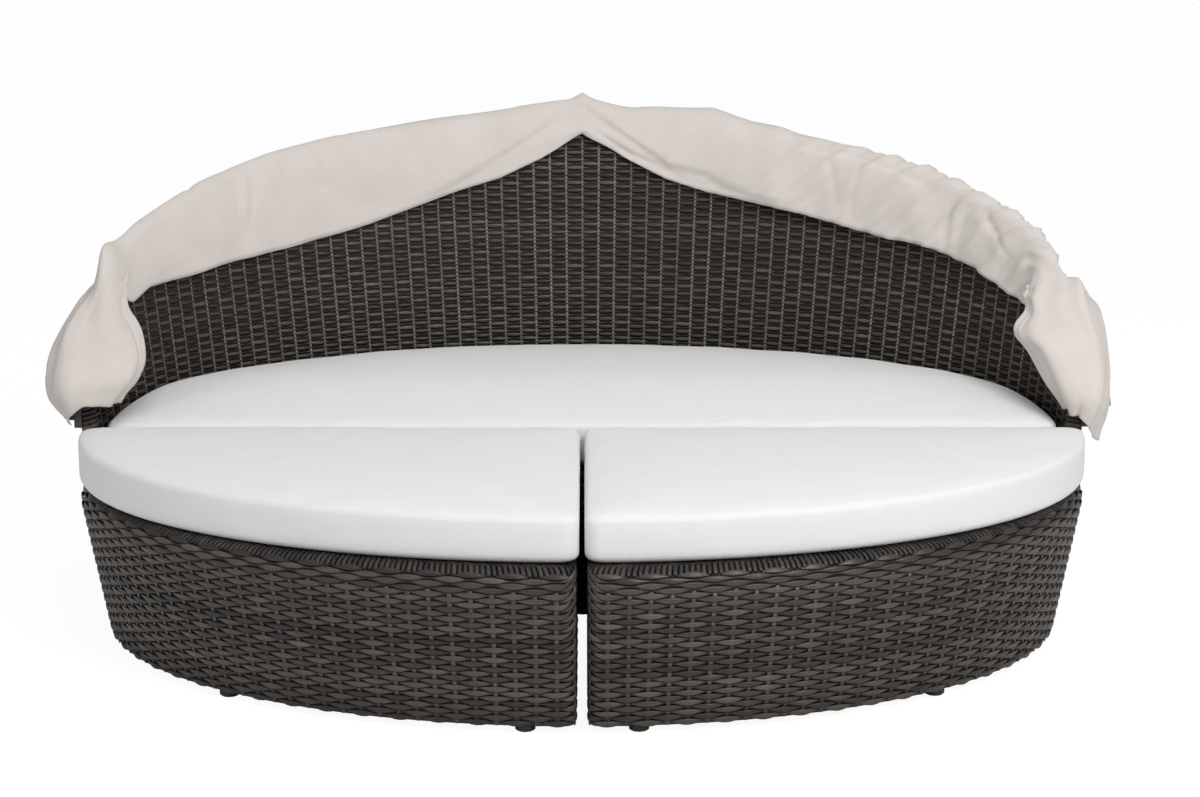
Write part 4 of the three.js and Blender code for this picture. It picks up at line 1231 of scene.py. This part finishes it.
def floor_material():
    """A floor that is nearly white to the camera and still keeps the object's shadow."""
    finish = Finish("floor_paint")
    finish.inputs["Base Color"].default_value = floor_colour
    finish.inputs["Roughness"].default_value = 0.9
    glow = finish.node("ShaderNodeEmission", Strength=floor_glow)
    seen = finish.node("ShaderNodeMath", operation="MULTIPLY")
    seen.inputs[1].default_value = glow_share
    finish.link(finish.node("ShaderNodeLightPath").outputs["Is Camera Ray"], seen.inputs[0])
    mix = finish.node("ShaderNodeMixShader")
    shader, output = finish.nodes["Principled BSDF"], finish.nodes["Material Output"]
    for source, socket in zip((seen, shader, glow), mix.inputs):
        finish.link(source.outputs[0], socket)
    finish.link(mix.outputs[0], output.inputs["Surface"])
    return finish.material


def add_stage():
    """The floor, and a backdrop that is white to the camera and dimmer as a light."""
    bpy.ops.mesh.primitive_plane_add(size=80, location=(0, 0, 0))
    floor = bpy.context.object
    floor.name = "floor"
    floor.data.materials.append(floor_material())
    world = bpy.data.worlds.new("studio")
    bpy.context.scene.world = world
    world.use_nodes = True
    nodes, links = world.node_tree.nodes, world.node_tree.links
    backdrop = nodes["Background"]
    backdrop.inputs["Color"].default_value = (1, 1, 1, 1)
    path = nodes.new("ShaderNodeLightPath")
    ranged = nodes.new("ShaderNodeMapRange")
    ranged.inputs["To Min"].default_value = backdrop_light
    ranged.inputs["To Max"].default_value = 1.0
    links.new(path.outputs["Is Camera Ray"], ranged.inputs["Value"])
    links.new(ranged.outputs[0], backdrop.inputs["Strength"])


def add_object(name, data, place):
    """A light or a camera put in its place."""
    made = bpy.data.objects.new(name, data)
    bpy.context.scene.collection.objects.link(made)
    made.location = place
    return made


def area_light(name, place, aim, size, power):
    light = bpy.data.lights.new(name, "AREA")
    light.shape = "RECTANGLE"
    light.size, light.size_y = size
    light.energy = power
    lamp = add_object(name, light, place)
    lamp.rotation_euler = (Vector(aim) - Vector(place)).to_track_quat("-Z", "Y").to_euler()


def add_lights():
    area_light("key", (2.4, -3.8, 3.7), (0, 0.1, 0.5), (1.5, 1.5), 134)
    area_light("fill", (-4.4, -3.6, 2.2), (0, 0, 0.4), (3.0, 2.4), 23)
    area_light("top", (0, -1.4, 3.6), (0, -0.4, 0.4), (3.0, 1.4), 32)


def add_camera():
    data = bpy.data.cameras.new("camera")
    data.lens, data.sensor_width = camera_lens, 36.0
    camera = add_object("camera", data, camera_place)
    camera.rotation_mode = "XYZ"
    camera.rotation_euler = (math.radians(90 - camera_pitch), 0, math.radians(-camera_turn))
    bpy.context.scene.camera = camera


# Scene

ottoman_cushion = {"thickness": 92, "outset": 2, "set_back": 50, "edge": 5}
sofa_cushion = {"thickness": 122, "side_gap": 3.5, "rear_gap": 23.5, "edge": 10, "slump": 28}
cushion_corner = 34

finish_carried_nodes()
pad_size = (half_width + ottoman_cushion["outset"], half_depth - ottoman_cushion["set_back"])
for sign, side in ((-1, "left"), (1, "right")):
    ottoman = f"ottoman_{side}"
    woven_skirt(f"{ottoman}_side_woven", plan(True, sign), ottoman, 11 + sign, ottoman_edge)
    pad = plan(True, sign, *pad_size, ottoman_cushion["edge"], cushion_corner)
    cushion(f"cushion_{side}", pad, f"cushion_{side}", ottoman_cushion["thickness"], 21 + sign)
woven_skirt("sofa_side_woven", plan(False), "sofa", 15, sofa_edge, wrap_curve=False)
woven_back("backrest_inner_woven", "backrest_inner_weave", True, 17)
woven_back("backrest_outer_woven", "backrest_outer_weave", False, 18)
wrapped_rim()
inside = back_core + back_face
pad_size = (half_width - inside - sofa_cushion["side_gap"], half_depth - inside - sofa_cushion["rear_gap"])
pad = plan(False, 1, *pad_size, sofa_cushion["edge"], cushion_corner)
cushion("cushion_rear", pad, "cushion_rear", sofa_cushion["thickness"], 23, slump=sofa_cushion["slump"])
canopy()
add_stage()
add_lights()
add_camera()
bpy.context.scene.view_settings.view_transform = "Standard"
